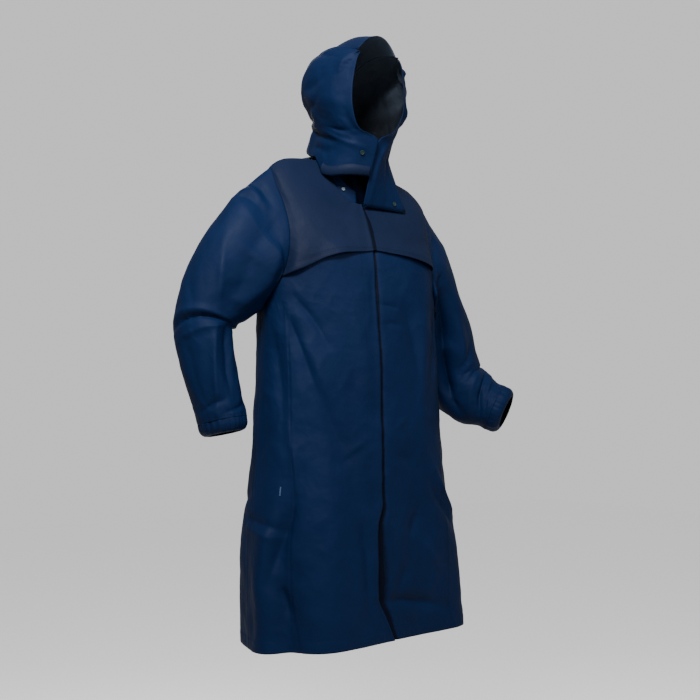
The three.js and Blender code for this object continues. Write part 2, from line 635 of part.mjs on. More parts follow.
// ---------- press studs ----------
// A low domed stud whose base faces the cloth at a point, along an outward direction.
function pressStud(point, outward) {
  const profile = [
    new THREE.Vector2(0, 0),
    new THREE.Vector2(SNAP_RADIUS, 0),
    new THREE.Vector2(SNAP_RADIUS, SNAP_HEIGHT * 0.5),
    new THREE.Vector2(SNAP_RADIUS * 0.7, SNAP_HEIGHT),
    new THREE.Vector2(0, SNAP_HEIGHT),
  ];
  const geometry = new THREE.LatheGeometry(profile, SNAP_SIDES);
  const turn = new THREE.Quaternion().setFromUnitVectors(new THREE.Vector3(0, 1, 0), outward);
  geometry.applyQuaternion(turn);
  geometry.translate(point.x, point.y, point.z);
  return geometry;
}

// Stud standing on a surface function at (u, v), a small gap off it.
function studOn(place, u, v, away) {
  const nudge = 1e-2;
  const along = place(u + nudge, v).sub(place(u - nudge, v));
  const across = place(u, v + nudge).sub(place(u, v - nudge));
  const normal = along.cross(across).normalize();
  if (normal.dot(away) < 0) normal.negate();
  return pressStud(place(u, v).addScaledVector(normal, SNAP_STAND), normal);
}

// ---------- assembly ----------
const group = new THREE.Group();

function add(name, geometry, colour, roughness, metalness = 0) {
  for (const attribute of ['normal', 'uv']) geometry.deleteAttribute(attribute);
  const welded = mergeVertices(geometry, 1e-4);
  welded.computeVertexNormals();
  const material = new THREE.MeshStandardMaterial({ color: colour, roughness, metalness });
  const mesh = new THREE.Mesh(welded, material);
  mesh.name = name;
  group.add(mesh);
}

const addCloth = (name, geometry, colour = NAVY) => add(name, geometry, colour, CLOTH_ROUGHNESS);
const addStud = (name, geometry) => add(name, geometry, STUD_GREY, STUD_ROUGHNESS, STUD_METALNESS);

addCloth('back', backPanel());
addCloth('front_right', rightFront());
addCloth('front_left', leftFront());
addCloth('yoke_right', yoke(-1), NAVY_SHOULDER);
addCloth('yoke_left', yoke(1), NAVY_SHOULDER);
addCloth('sleeve_right', sleeve(-1, SLEEVE_RIGHT));
addCloth('sleeve_left', sleeve(1, SLEEVE_LEFT));
addCloth('cuff_right', cuff(-1, SLEEVE_RIGHT));
addCloth('cuff_left', cuff(1, SLEEVE_LEFT));
addCloth('collar', collar());
addCloth('hood_right', hoodSide(-1));
addCloth('hood_left', hoodSide(1));
addCloth('hood_crown', hoodCrown());
addCloth('hood_hem_right', hoodHem());

const forward = new THREE.Vector3(0, -1, 0);
addStud('snap_throat', studOn((section, share) => hoodPoint(-1, section, share), 1.25, 0.1, forward));
addStud('snap_flap', studOn((section, share) => hoodPoint(1, section, share), 0.12, 0.26, forward));
addStud('snap_collar', studOn(collarPoint, 0.45, 0.925, forward));

export default group;
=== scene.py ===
import math
from functools import partial

import bmesh
import bpy
import numpy as np
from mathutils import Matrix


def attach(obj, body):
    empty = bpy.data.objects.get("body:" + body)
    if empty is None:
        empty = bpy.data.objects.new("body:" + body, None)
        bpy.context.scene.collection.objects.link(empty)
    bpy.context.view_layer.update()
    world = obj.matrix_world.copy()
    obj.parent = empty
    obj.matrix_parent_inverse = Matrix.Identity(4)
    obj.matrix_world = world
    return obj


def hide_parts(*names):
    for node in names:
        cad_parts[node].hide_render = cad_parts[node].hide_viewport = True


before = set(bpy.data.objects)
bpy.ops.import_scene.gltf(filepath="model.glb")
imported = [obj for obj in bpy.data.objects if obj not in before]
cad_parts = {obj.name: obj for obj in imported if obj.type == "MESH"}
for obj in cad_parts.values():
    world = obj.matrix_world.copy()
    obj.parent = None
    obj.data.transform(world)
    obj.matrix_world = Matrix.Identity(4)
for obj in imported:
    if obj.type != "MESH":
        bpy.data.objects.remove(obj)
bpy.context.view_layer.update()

# A long hooded raincoat, filled out as worn, with no wearer in it. Tables and surface
# functions are in millimetres, in the row frame: the front faces -Y, +X is the wearer's
# left, +Z is up, and the origin is the neck base. Meshes are made in metres. side is -1
# for the wearer's right and 1 for the left.
MM = 0.001
SIDES = {-1: "right", 1: "left"}

# ---------- camera, light and floor ----------
CAMERA_AZIMUTH = -32.0
CAMERA_PITCH = 4.2
CAMERA_DISTANCE = 2.3
CAMERA_HEIGHT = -0.62
CAMERA_LENS = 50.5
CAMERA_SENSOR = 36.0
CAMERA_SHIFT = 0.003
WORLD_STRENGTH = 0.78
FLOOR_HEIGHT = -2.3
FLOOR_HALF = 14.0
FLOOR_GREY = 0.97
FLOOR_ROUGHNESS = 0.9
CHEST = (0, 0, -0.25)
WAIST = (0, 0, -0.45)
# Each light's name, place, size, power and the place that it is aimed at.
LIGHTS = [
    ("key", (-1.15, -1.35, 1.2), (0.7, 0.7), 275, CHEST),
    ("fill", (0.5, -2.4, 0.6), (1.4, 1.2), 62, WAIST),
    ("back", (1.2, 2.6, 1.2), (1.6, 1.6), 50, WAIST),
]


def add_object(name, data):
    made = bpy.data.objects.new(name, data)
    bpy.context.collection.objects.link(made)
    return made


def new_material(name):
    """A material, its node tree and its shader."""
    material = bpy.data.materials.new(name)
    material.use_nodes = True
    return material, material.node_tree, material.node_tree.nodes["Principled BSDF"]


def add_camera():
    data = bpy.data.cameras.new("camera")
    data.lens = CAMERA_LENS
    data.sensor_width = CAMERA_SENSOR
    data.shift_x = CAMERA_SHIFT
    camera = add_object("camera", data)
    turn = math.radians(CAMERA_AZIMUTH)
    camera.location = (
        CAMERA_DISTANCE * math.sin(turn), -CAMERA_DISTANCE * math.cos(turn), CAMERA_HEIGHT)
    camera.rotation_euler = (math.radians(90 + CAMERA_PITCH), 0, turn)
    bpy.context.scene.camera = camera


def add_light(name, place, size, power, target):
    data = bpy.data.lights.new(name, "AREA")
    data.energy = power
    data.shape = "RECTANGLE"
    data.size, data.size_y = size
    light = add_object(name, data)
    light.location = place
    x, y, z = np.subtract(target, place)
    light.rotation_euler = (math.atan2(math.hypot(x, y), -z), 0, math.atan2(y, x) - math.pi / 2)


def add_world():
    world = bpy.data.worlds.new("studio")
    world.use_nodes = True
    background = world.node_tree.nodes["Background"]
    background.inputs["Color"].default_value = (1, 1, 1, 1)
    background.inputs["Strength"].default_value = WORLD_STRENGTH
    bpy.context.scene.world = world


def add_floor():
    mesh = bpy.data.meshes.new("floor")
    corners = [(-1, -1), (1, -1), (1, 1), (-1, 1)]
    places = [(x * FLOOR_HALF, y * FLOOR_HALF, FLOOR_HEIGHT) for x, y in corners]
    mesh.from_pydata(places, [], [(0, 1, 2, 3)])
    material, _, shader = new_material("floor")
    shader.inputs["Base Color"].default_value = (FLOOR_GREY, FLOOR_GREY, FLOOR_GREY, 1)
    shader.inputs["Roughness"].default_value = FLOOR_ROUGHNESS
    mesh.materials.append(material)
    add_object("floor", mesh)


add_camera()
add_world()
add_floor()
for row in LIGHTS:
    add_light(*row)


# ---------- sizes ----------
# Millimetres and degrees. A pair that ends in LEVELS, ANGLES or the like is for fade or
# mix: the place of 0 and the place of 1. A ridge's pair is its height and its width.
WALL = 1.2
FLAP_WALL = 1.6
COLLAR_WALL = 1.5
HEM_HEIGHT = -1100.0
SHOULDER_HEIGHT = -64.0
UNDERARM_HEIGHT = -352.0
ARMHOLE_FRONT = 33.0
ARMHOLE_BACK = 30.0
SQUARENESS = 0.13
SQUARE_LEVELS = (-40.0, -240.0)
FRONT_FALL = 1.15
SHOULDER_TILT = 0.095
TILT_LEVELS = (-420.0, -90.0)
TILT_SINES = (0.1875, 0.8125)
HEM_DIP = 10.0
DIP_TOP = -700.0
DIP_WIDTH = 45.0
OVERLAP_LIFT = 2.6
OVERLAP_ANGLE = 9.0
YOKE_STAND = 3.0
YOKE_FLARE = 6.0
YOKE_GAP = 0.3
# Columns of the left yoke at the closing that get the darkest painted shadow.
YOKE_SHADOW_COLUMNS = 3
YOKE_WIDTH = 60.0
SLEEVE_RISE = 3.0
SLEEVE_CLEARANCE = 6.0
COLLAR_RISE = 36.0
COLLAR_INSET = 2.5
COLLAR_LEAN = 0.1
COLLAR_ENDS = (16.0, 352.0)
HOOD_CLEARANCE = 9.0
HOOD_BACK = 20.0
HOOD_LEFT_WIDTH = 1.06
RIGHT_FLAP_LIFT = 7.0
LEFT_FLAP_HEM = -128.0
LEFT_FLAP_ANGLES = (-2.0, 47.0)
LEFT_FLAP_STAND = 8.0
FLAP_SHARE = 0.34
BAND_WIDTH = 0.62
BAND_STAND = 2.1
BAND_FLARE = 2.5


def table(names, *rows):
    """Named columns of a table, as arrays."""
    columns = np.array(rows, float).T
    return dict(zip(names.split(), columns))


# Each level of the body: its height at the side seam, front and back, its half width, its
# depths before and behind the side seams, and how far it stands to the wearer's left.
BODY_LEVELS = table(
    "side front back half fore aft shift",
    (-18, -120, 38, 80, 58, 70, 0),
    (-25, -138, 22, 132, 68, 82, 0),
    (-37, -160, -6, 176, 82, 92, 0),
    (-64, -188, -48, 208, 95, 98, 0),
    (-116, -214, -110, 218, 106, 103, 0),
    (-184, -248, -182, 223, 115, 106, 0),
    (-262, -292, -262, 225, 121, 108, 0),
    (-352, -362, -352, 227, 127, 109, 0),
    (-460, -462, -460, 230, 131, 110, 1),
    (-580, -580, -580, 235, 133, 112, 1),
    (-700, -700, -700, 243, 134, 116, 3),
    (-780, -780, -780, 252, 135, 120, 5),
    (-840, -840, -840, 262, 137, 124, 8),
    (-920, -920, -920, 268, 140, 128, 12),
    (-1100, -1100, -1100, 270, 144, 132, 20),
)
# The hem's large folds: angle, highest point, width in degrees, depth, and lean.
BODY_FOLDS = table(
    "angle top width depth lean",
    (-31, -560, 20, 34, 6),
    (-52, -700, 9, -15, -14),
    (-70, -760, 13, 16, 4),
    (22, -620, 24, -22, 0),
    (66, -780, 14, 12, 8),
    (118, -640, 15, 16, 10),
    (150, -700, 12, -15, -8),
    (178, -560, 14, 18, 4),
    (208, -720, 12, -14, 8),
    (238, -660, 15, 17, -6),
)
CLOSING_EDGE = table(
    "height right left",
    (-18, -1.5, -9),
    (-800, -0.5, -8),
    (-850, -4, -7),
    (-1000, -5, -6),
    (-1050, -1, -5),
    (-1100, 3, 4.5),
)
YOKE_EDGE = {
    -1: table("angle height", (0, -235), (30, -256), (50, -292), (90, -330)),
    1: table("angle height", (0, -232), (30, -242), (50, -252), (90, -262)),
}
# Each ring of a sleeve: its centre, its half widths over and round the arm, and how far it
# has turned from the armhole's loop to an oval.
SLEEVE_RINGS = {
    -1: table(
        "ring x y z over round blend",
        (1, -246, 2, -222, 120, 86, 0.62),
        (2, -291, 8, -288, 103, 82, 0.92),
        (3, -335, 13, -350, 86, 75, 1),
        (4, -361, 14, -404, 68, 69, 1),
        (5, -359, 8, -450, 61, 65, 1),
        (6, -350, -6, -516, 58, 60, 1),
        (7, -337, -18, -580, 54, 56, 1),
        (8, -331, -24, -618, 53, 54, 1),
    ),
    1: table(
        "ring x y z over round blend",
        (1, 230, 6, -252, 104, 84, 0.55),
        (2, 262, 28, -326, 84, 82, 0.9),
        (3, 304, 46, -400, 84, 78, 1),
        (4, 336, 56, -474, 84, 78, 1),
        (5, 362, 44, -528, 80, 74, 1),
        (6, 392, 14, -558, 74, 66, 1),
        (7, 413, -10, -574, 62, 56, 1),
        (8, 428, -28, -584, 60, 56, 1),
    ),
}
SLEEVE_END = 8
CUFF_RINGS = table("ring along share", (0, 0, 1), (1, 14, 0.98), (2, 24, 0.86), (3, 27, 0.7))
# Each section of the hood, from its hem to its brim: the face opening's edge, the crown
# seam, the half width, the crown's middle, and how the curve leaves both edges.
HOOD_SECTIONS = table(
    "section faceX faceY faceZ seamX seamY seamZ half crownY crownZ faceTurn seamTurn",
    (0, 2, -88, -58, 44, 82, 44, 92, 89, 45, 0, 0.08),
    (1, 4, -100, -22, 45, 68, 76, 86, 78, 77, 0, 0.1),
    (2, 12, -116, 24, 47, 68, 98, 92, 79, 99, 0, 0.12),
    (3, 48, -121, 46, 49, 78, 120, 103, 90, 122, 0.16, 0.15),
    (4, 66, -127, 84, 50, 90, 152, 113, 105, 156, 0.24, 0.18),
    (5, 69, -129, 122, 50, 92, 192, 116, 110, 204, 0.28, 0.22),
    (6, 66, -131, 158, 51, 70, 231, 111, 78, 254, 0.3, 0.3),
    (7, 62, -133, 184, 51, 16, 252, 97, 16, 281, 0.3, 0.3),
    (8, 58, -134, 200, 51, -58, 247, 78, -60, 282, 0.3, 0.3),
    (9, 52, -135, 213, 50, -124, 224, 57, -136, 260, 0.3, 0.3),
)
HOOD_LAST = 9


# ---------- helpers ----------
def mix(a, b, t):
    return a + (b - a) * t


def smooth(t):
    t = np.clip(t, 0, 1)
    return t * t * (3 - 2 * t)


def fade(value, zero, one):
    """A soft step: 0 up to the first place, and 1 from the second."""
    return smooth((value - zero) / (one - zero))


def bell(distance, width):
    return np.exp(-((distance / width) ** 2))


def ridge(distance, height, width):
    """A soft ridge, or a groove where its height is below 0."""
    return height * bell(distance, width)


def turn_between(angle, start):
    """Signed difference of two angles in degrees."""
    return (angle - start + 180) % 360 - 180


def column(rows, place, name):
    """One column of a table at places along its first column, with soft joins."""
    keys, values = rows[next(iter(rows))], rows[name]
    if keys[0] > keys[-1]:
        keys, values = keys[::-1], values[::-1]
    place = np.asarray(place, float)
    last = len(keys) - 1
    low = np.clip(np.searchsorted(keys, place, side="right") - 1, 0, last - 1)
    high = low + 1
    before, after = np.maximum(low - 1, 0), np.minimum(low + 2, last)
    span = keys[high] - keys[low]
    t = np.clip((place - keys[low]) / span, 0, 1)
    slope_low = (values[high] - values[before]) / (keys[high] - keys[before]) * span
    slope_high = (values[after] - values[low]) / (keys[after] - keys[low]) * span
    return (
        (2 * t**3 - 3 * t**2 + 1) * values[low]
        + (t**3 - 2 * t**2 + t) * slope_low
        + (3 * t**2 - 2 * t**3) * values[high]
        + (t**3 - t**2) * slope_high
    )


def paired(first, second):
    return np.broadcast_arrays(np.asarray(first, float), np.asarray(second, float))


def grid(rows, columns):
    return np.meshgrid(rows, columns, indexing="ij")


def unit(vectors):
    return vectors / np.maximum(np.linalg.norm(vectors, axis=-1, keepdims=True), 1e-9)


def dot(a, b):
    return np.sum(a * b, axis=-1)


def vector(x, y, z):
    return np.stack(np.broadcast_arrays(np.asarray(x, float), y, z), axis=-1)


def halved(start, end, past, steps):
    """Narrows a span by halves. past(middle): whether its start moves up to the middle."""
    for _ in range(steps):
        middle = (start + end) / 2
        moved = past(middle)
        start, end = np.where(moved, middle, start), np.where(moved, end, middle)
    return start, end


# ---------- body ----------
NECK_HEIGHT = BODY_LEVELS["side"][0]
NORMAL_TURN = 1.5
NORMAL_RISE = 2
HEIGHT_STEPS = 24
RADIUS_STEPS = 20


def body_level(height, name):
    return column(BODY_LEVELS, height, name)


def body_radii(y, height):
    """Half width of the body's level, and its depth on the side where y lies."""
    depth = np.where(y < 0, body_level(height, "fore"), body_level(height, "aft"))
    return body_level(height, "half"), depth


def fold_travel(angle, height):
    """Travel of the hem's large folds. lean is in degrees for each metre of height."""
    travel = 0.0
    for place, top, width, depth, lean in zip(*BODY_FOLDS.values()):
        centre = place + lean * (height - HEM_HEIGHT) * MM
        strength = fade(height, top, HEM_HEIGHT)
        travel = travel + depth * strength * bell(turn_between(angle, centre), width)
    return travel


def body_surface(angle, height):
    """Points of the body. angle: degrees from centre front towards the wearer's left.
    height: the level's height at the side seam."""
    angle, height = paired(angle, height)
    sine, cosine = np.sin(np.radians(angle)), np.cos(np.radians(angle))
    fronting = cosine > 0
    depth = np.where(fronting, body_level(height, "fore"), body_level(height, "aft"))
    middle = np.where(fronting, body_level(height, "front"), body_level(height, "back"))
    fall = np.where(fronting, np.abs(cosine) ** FRONT_FALL, cosine**2)
    square = SQUARENESS * fade(height, *SQUARE_LEVELS)
    half = body_level(height, "half")
    x = half * sine * (1 + square * cosine**2)
    y = -depth * cosine * (1 + square * sine**2)
    outward = unit(vector(sine * depth, -cosine * half, 0))
    travel = fold_travel(angle, height)
    hanging = fade(height, DIP_TOP, HEM_HEIGHT)
    dip = HEM_DIP * hanging * bell(turn_between(angle, -90), DIP_WIDTH)
    tilt = SHOULDER_TILT * fade(height, *TILT_LEVELS) * fade(np.abs(sine), *TILT_SINES)
    return vector(
        x + body_level(height, "shift") + outward[..., 0] * travel,
        y + outward[..., 1] * travel,
        height + (middle - height) * fall - tilt * x - dip,
    )


def body_normal(angle, height):
    across = body_surface(angle + NORMAL_TURN, height) - body_surface(angle - NORMAL_TURN, height)
    up = body_surface(angle, height + NORMAL_RISE) - body_surface(angle, height - NORMAL_RISE)
    return unit(np.cross(across, up))


def body_point(angle, height, lift=0.0):
    point = body_surface(angle, height)
    lift = np.broadcast_to(np.asarray(lift, float), point.shape[:-1])
    return point + body_normal(angle, height) * lift[..., None]


def armhole_reach(height, widest):
    middle = (SHOULDER_HEIGHT + UNDERARM_HEIGHT) / 2
    share = (height - middle) / ((SHOULDER_HEIGHT - UNDERARM_HEIGHT) / 2)
    return widest * np.sqrt(np.maximum(0, 1 - share * share))


def closing(height, side=-1):
    """Angle of a front's edge at the closing."""
    return column(CLOSING_EDGE, height, SIDES[side])


def front_limit(height):
    return 90 - armhole_reach(height, ARMHOLE_FRONT)


def back_limit(height):
    return 90 + armhole_reach(height, ARMHOLE_BACK)


def overlap_lift(angle):
    return OVERLAP_LIFT * fade(angle, -2 * OVERLAP_ANGLE, -OVERLAP_ANGLE)


def side_height(angle, true_height):
    """Side-seam height of the level that passes through a true height at an angle."""
    angle, true_height = paired(angle, true_height)
    start, end = np.full(angle.shape, NECK_HEIGHT), np.full(angle.shape, HEM_HEIGHT)

    def above(middle):
        return body_surface(angle, middle)[..., 2] > true_height

    start, end = halved(start, end, above, HEIGHT_STEPS)
    return (start + end) / 2


# ---------- sleeves ----------
CLEARING_STEPS = 3
RING_NUDGE = 0.4
ELBOW = np.array([0.0, 1.0, 0.0])


def armhole_place(side, turn):
    """Angle and height of the body's armhole edge, round its loop."""
    wrapped = np.mod(turn, 1)
    front = wrapped <= 0.5
    along = np.where(front, wrapped * 2, 2 - wrapped * 2)
    height = mix(SHOULDER_HEIGHT, UNDERARM_HEIGHT, (1 - np.cos(np.pi * along)) / 2)
    reach = np.where(
        front, -armhole_reach(height, ARMHOLE_FRONT), armhole_reach(height, ARMHOLE_BACK))
    return side * (90 + reach), height


def armhole_point(side, turn):
    return body_point(*armhole_place(side, turn))


def armhole_centre(side):
    return body_surface(side * 90, (SHOULDER_HEIGHT + UNDERARM_HEIGHT) / 2)


def clear_of_body(point, side, clearance):
    """Moves a sleeve's points out of the body, to stand clear of it."""
    x, y, z = np.moveaxis(point, -1, 0)
    angle, height = np.full(x.shape, side * 90.0), z
    for _ in range(CLEARING_STEPS):
        half, depth = body_radii(y, height)
        angle = np.degrees(np.arctan2(x / half, -y / depth))
        height = side_height(angle, z)
    normal = body_normal(angle, height)
    proud = dot(point - body_surface(angle, height), normal)
    return point + normal * np.maximum(0, clearance - proud)[..., None]


def sleeve_oval(side, ring, turn, reach=0.0, share=1.0):
    """Points of a sleeve beyond its first ring."""
    rows = SLEEVE_RINGS[side]

    def at(name, place=ring):
        return column(rows, place, name)

    def centre_at(place):
        return vector(at("x", place), at("y", place), at("z", place))

    ahead, behind = np.minimum(SLEEVE_END, ring + RING_NUDGE), np.maximum(1, ring - RING_NUDGE)
    arm = unit(centre_at(ahead) - centre_at(behind))
    across = unit(ELBOW - arm * dot(arm, ELBOW)[..., None])
    over = unit(np.cross(across, arm))
    over = over * np.where(over[..., 0] * side + over[..., 2] < 0, -1.0, 1.0)[..., None]
    angle = turn * 2 * np.pi
    oval = (
        centre_at(ring)
        + over * (np.cos(angle) * at("over") * share)[..., None]
        - across * (np.sin(angle) * at("round") * share)[..., None]
        + arm * np.asarray(reach)[..., None]
    )
    moved = armhole_point(side, turn) + centre_at(ring) - armhole_centre(side)
    blend = at("blend")[..., None]
    return clear_of_body(mix(moved, oval, blend), side, SLEEVE_CLEARANCE)


def sleeve_point(side, ring, turn):
    ring, turn = paired(ring, turn)
    start = armhole_point(side, turn)
    beyond = sleeve_oval(side, np.maximum(ring, 1), turn)
    share = np.clip(ring, 0, 1)
    between = mix(start, beyond, share[..., None])
    cleared = clear_of_body(between, side, SLEEVE_RISE * share)
    between = np.where((share <= 0)[..., None], start, cleared)
    return np.where((ring < 1)[..., None], between, beyond)


# ---------- collar and hood ----------
FACE_CROSSING = (1.6, 2.6)
LEFT_WIDENING = (3, 5)
HEM_BACKWARDS = (0.3, 1.0)
FLAP_TO_HEM = (0.9 * FLAP_SHARE, 1.4 * FLAP_SHARE)
HEM_EASE = 1.3
THROAT_SECTIONS = (3, 1.8)
THROAT_SHARES = (0.4, 0)


def collar_point(share, turn):
    base = body_surface(mix(*COLLAR_ENDS, turn), NECK_HEIGHT)
    inward = unit(base * np.array([-1.0, -1.0, 0.0]))
    rise = COLLAR_RISE * share
    point = base + inward * (COLLAR_INSET + COLLAR_LEAN * rise)[..., None]
    return point + vector(0, 0, rise)


def hood_at(section, name):
    return column(HOOD_SECTIONS, section, name)


def height_under(x, y):
    """Height of the body's surface under a place near the neck."""
    def beyond(level):
        half, depth = body_radii(y, level)
        return (x / half) ** 2 + (y / depth) ** 2 > 1

    start, end = np.full(np.shape(x), NECK_HEIGHT), np.full(np.shape(x), UNDERARM_HEIGHT)
    level, _ = halved(start, end, beyond, RADIUS_STEPS)
    half, depth = body_radii(y, level)
    return body_surface(np.degrees(np.arctan2(x / half, -y / depth)), level)[..., 2]


def hood_shape(side, section, share):
    """The hood before its hem is laid: a curve from the face opening to the crown seam,
    whose handles are set so that its middle lies half the hood's width out."""
    face_x = hood_at(section, "faceX")
    if side < 0:
        face_x = face_x * mix(-1, 1, fade(section, *FACE_CROSSING))
    seam_x = hood_at(section, "seamX")
    full_x = (8 * hood_at(section, "half") - face_x - seam_x) / 6
    face_y, seam_y = hood_at(section, "faceY"), hood_at(section, "seamY")
    run = seam_y - face_y

    def curve(start, leave, arrive, end):
        left = 1 - share
        return (
            left**3 * start + 3 * share * left**2 * leave
            + 3 * share**2 * left * arrive + share**3 * end)

    x = curve(face_x, full_x, full_x, seam_x)
    y = curve(
        face_y, face_y + hood_at(section, "faceTurn") * run,
        seam_y - hood_at(section, "seamTurn") * run, seam_y)
    z = mix(hood_at(section, "faceZ"), hood_at(section, "seamZ"), smooth(share))
    widened = 1.0 if side < 0 else mix(1, HOOD_LEFT_WIDTH, fade(section, *LEFT_WIDENING))
    return vector(side * x * widened, y, z)


def hood_hem_point(side, hem, share):
    """The hem laid over the shoulders, and on the left the throat flap on the chest."""
    backwards = fade(share, *HEM_BACKWARDS)
    rise = mix(HOOD_SECTIONS["faceZ"][0], HOOD_SECTIONS["seamZ"][0], backwards)
    rested = hem.copy()
    rested[..., 2] = np.maximum(rise, height_under(hem[..., 0], hem[..., 1]) + HOOD_CLEARANCE)
    if side < 0:
        return rested
    angle = mix(*LEFT_FLAP_ANGLES, np.minimum(1, share / FLAP_SHARE))
    flap = body_point(angle, side_height(angle, LEFT_FLAP_HEM), LEFT_FLAP_STAND)
    return mix(flap, rested, fade(share, *FLAP_TO_HEM)[..., None])


def hood_point(side, section, share, lift=0.0):
    section, share = paired(section, share)
    point = hood_shape(side, section, share)
    hem = hood_shape(side, np.zeros_like(section), share)
    lowered = hood_hem_point(side, hem, share)
    point = point + (lowered - hem) * (np.maximum(0, 1 - section) ** HEM_EASE)[..., None]
    away = unit(vector(point[..., 0] + side, point[..., 1] + HOOD_BACK, 0))
    throat = fade(section, *THROAT_SECTIONS) * fade(share, *THROAT_SHARES)
    lift = lift + (RIGHT_FLAP_LIFT * throat if side < 0 else 0.0)
    return point + away * np.broadcast_to(lift, section.shape)[..., None]


# ---------- creases ----------
# Each crease runs from its start to its end on a piece's own two coordinates. bow: how far
# its middle strays sideways, width and depth in mm (a ridge stands out, a trough goes in).
# edge: 0 is a soft roll, 1 a pinched crest.
BODY_CREASES = table(
    "a0 h0 a1 h1 bow width depth edge",
    (-62, -372, -38, -540, 4, 16, -7, 0.4),
    (-38, -530, -19, -690, -3, 20, -4.5, 0.3),
    (-52, -345, -31, -440, 5, 13, -5, 0.5),
    (-60, -372, -59, -440, 2, 8, 2.6, 0.6),
    (-51, -420, -26, -600, 4, 22, 4.5, 0.2),
    (-15, -340, -11, -640, 4, 38, 4.5, 0.1),
    (-74, -420, -60, -640, 6, 20, -5, 0.2),
    (-55, -640, -46, -790, 3, 9, 3.2, 0.6),
    (-46, -745, -65, -945, 8, 15, -8, 0.3),
    (-62, -800, -76, -1060, -6, 22, 6, 0.1),
    (-101, -826, -55, -850, 4, 10, -3.2, 0.5),
    (-100, -846, -60, -868, 3, 9, 2.6, 0.5),
    (-58, -960, -51, -1030, 2, 11, -6, 0.4),
    (-20, -700, -9, -662, 2, 9, 1.8, 0.4),
    (-24, -716, -12, -684, 2, 10, -1.2, 0.3),
    (-36, -600, -26, -980, 10, 30, 4, 0),
    (-14, -440, -9, -720, -6, 24, -3, 0),
    (-12, -820, -10, -1040, 4, 13, -4.5, 0.2),
    (40, -735, 67, -845, -6, 11, 6, 0.7),
    (35, -760, 58, -860, -4, 13, -4.5, 0.3),
    (-1, -1012, 40, -1046, 5, 15, -7, 0.3),
    (14, -940, 7, -1000, 0, 14, -2.8, 0.3),
    (24, -890, 34, -950, 4, 12, 3.6, 0.4),
    (16, -880, 22, -820, 0, 13, -4, 0.3),
    (9, -640, 17, -610, 2, 8, 1.4, 0.4),
    (8, -690, 20, -720, 3, 13, -1.6, 0.2),
    (3, -345, 14, -352, 2, 7, -1.8, 0.3),
    (5, -392, 16, -396, 2, 7, -1.6, 0.3),
    (16, -300, 30, -560, 8, 24, -4, 0.1),
    (38, -330, 30, -640, -8, 24, 4, 0.1),
    (58, -330, 42, -520, 6, 18, -5, 0.2),
    (112, -360, 138, -560, 8, 20, -5, 0.2),
    (124, -330, 160, -470, -6, 24, 4.5, 0.1),
    (104, -640, 122, -820, 6, 18, -4.5, 0.2),
    (168, -240, 182, -520, 6, 26, 4, 0),
    (140, -620, 150, -1000, -8, 24, 4, 0.1),
    (176, -760, 192, -1060, 6, 20, -5, 0.2),
    (246, -360, 216, -560, 8, 20, -5, 0.2),
    (236, -330, 204, -460, -6, 22, 4, 0.1),
    (252, -640, 236, -860, -6, 18, -5, 0.2),
    (214, -700, 208, -1040, 6, 24, 4.5, 0.1),
    (266, -770, 238, -800, 4, 11, -3, 0.4),
)
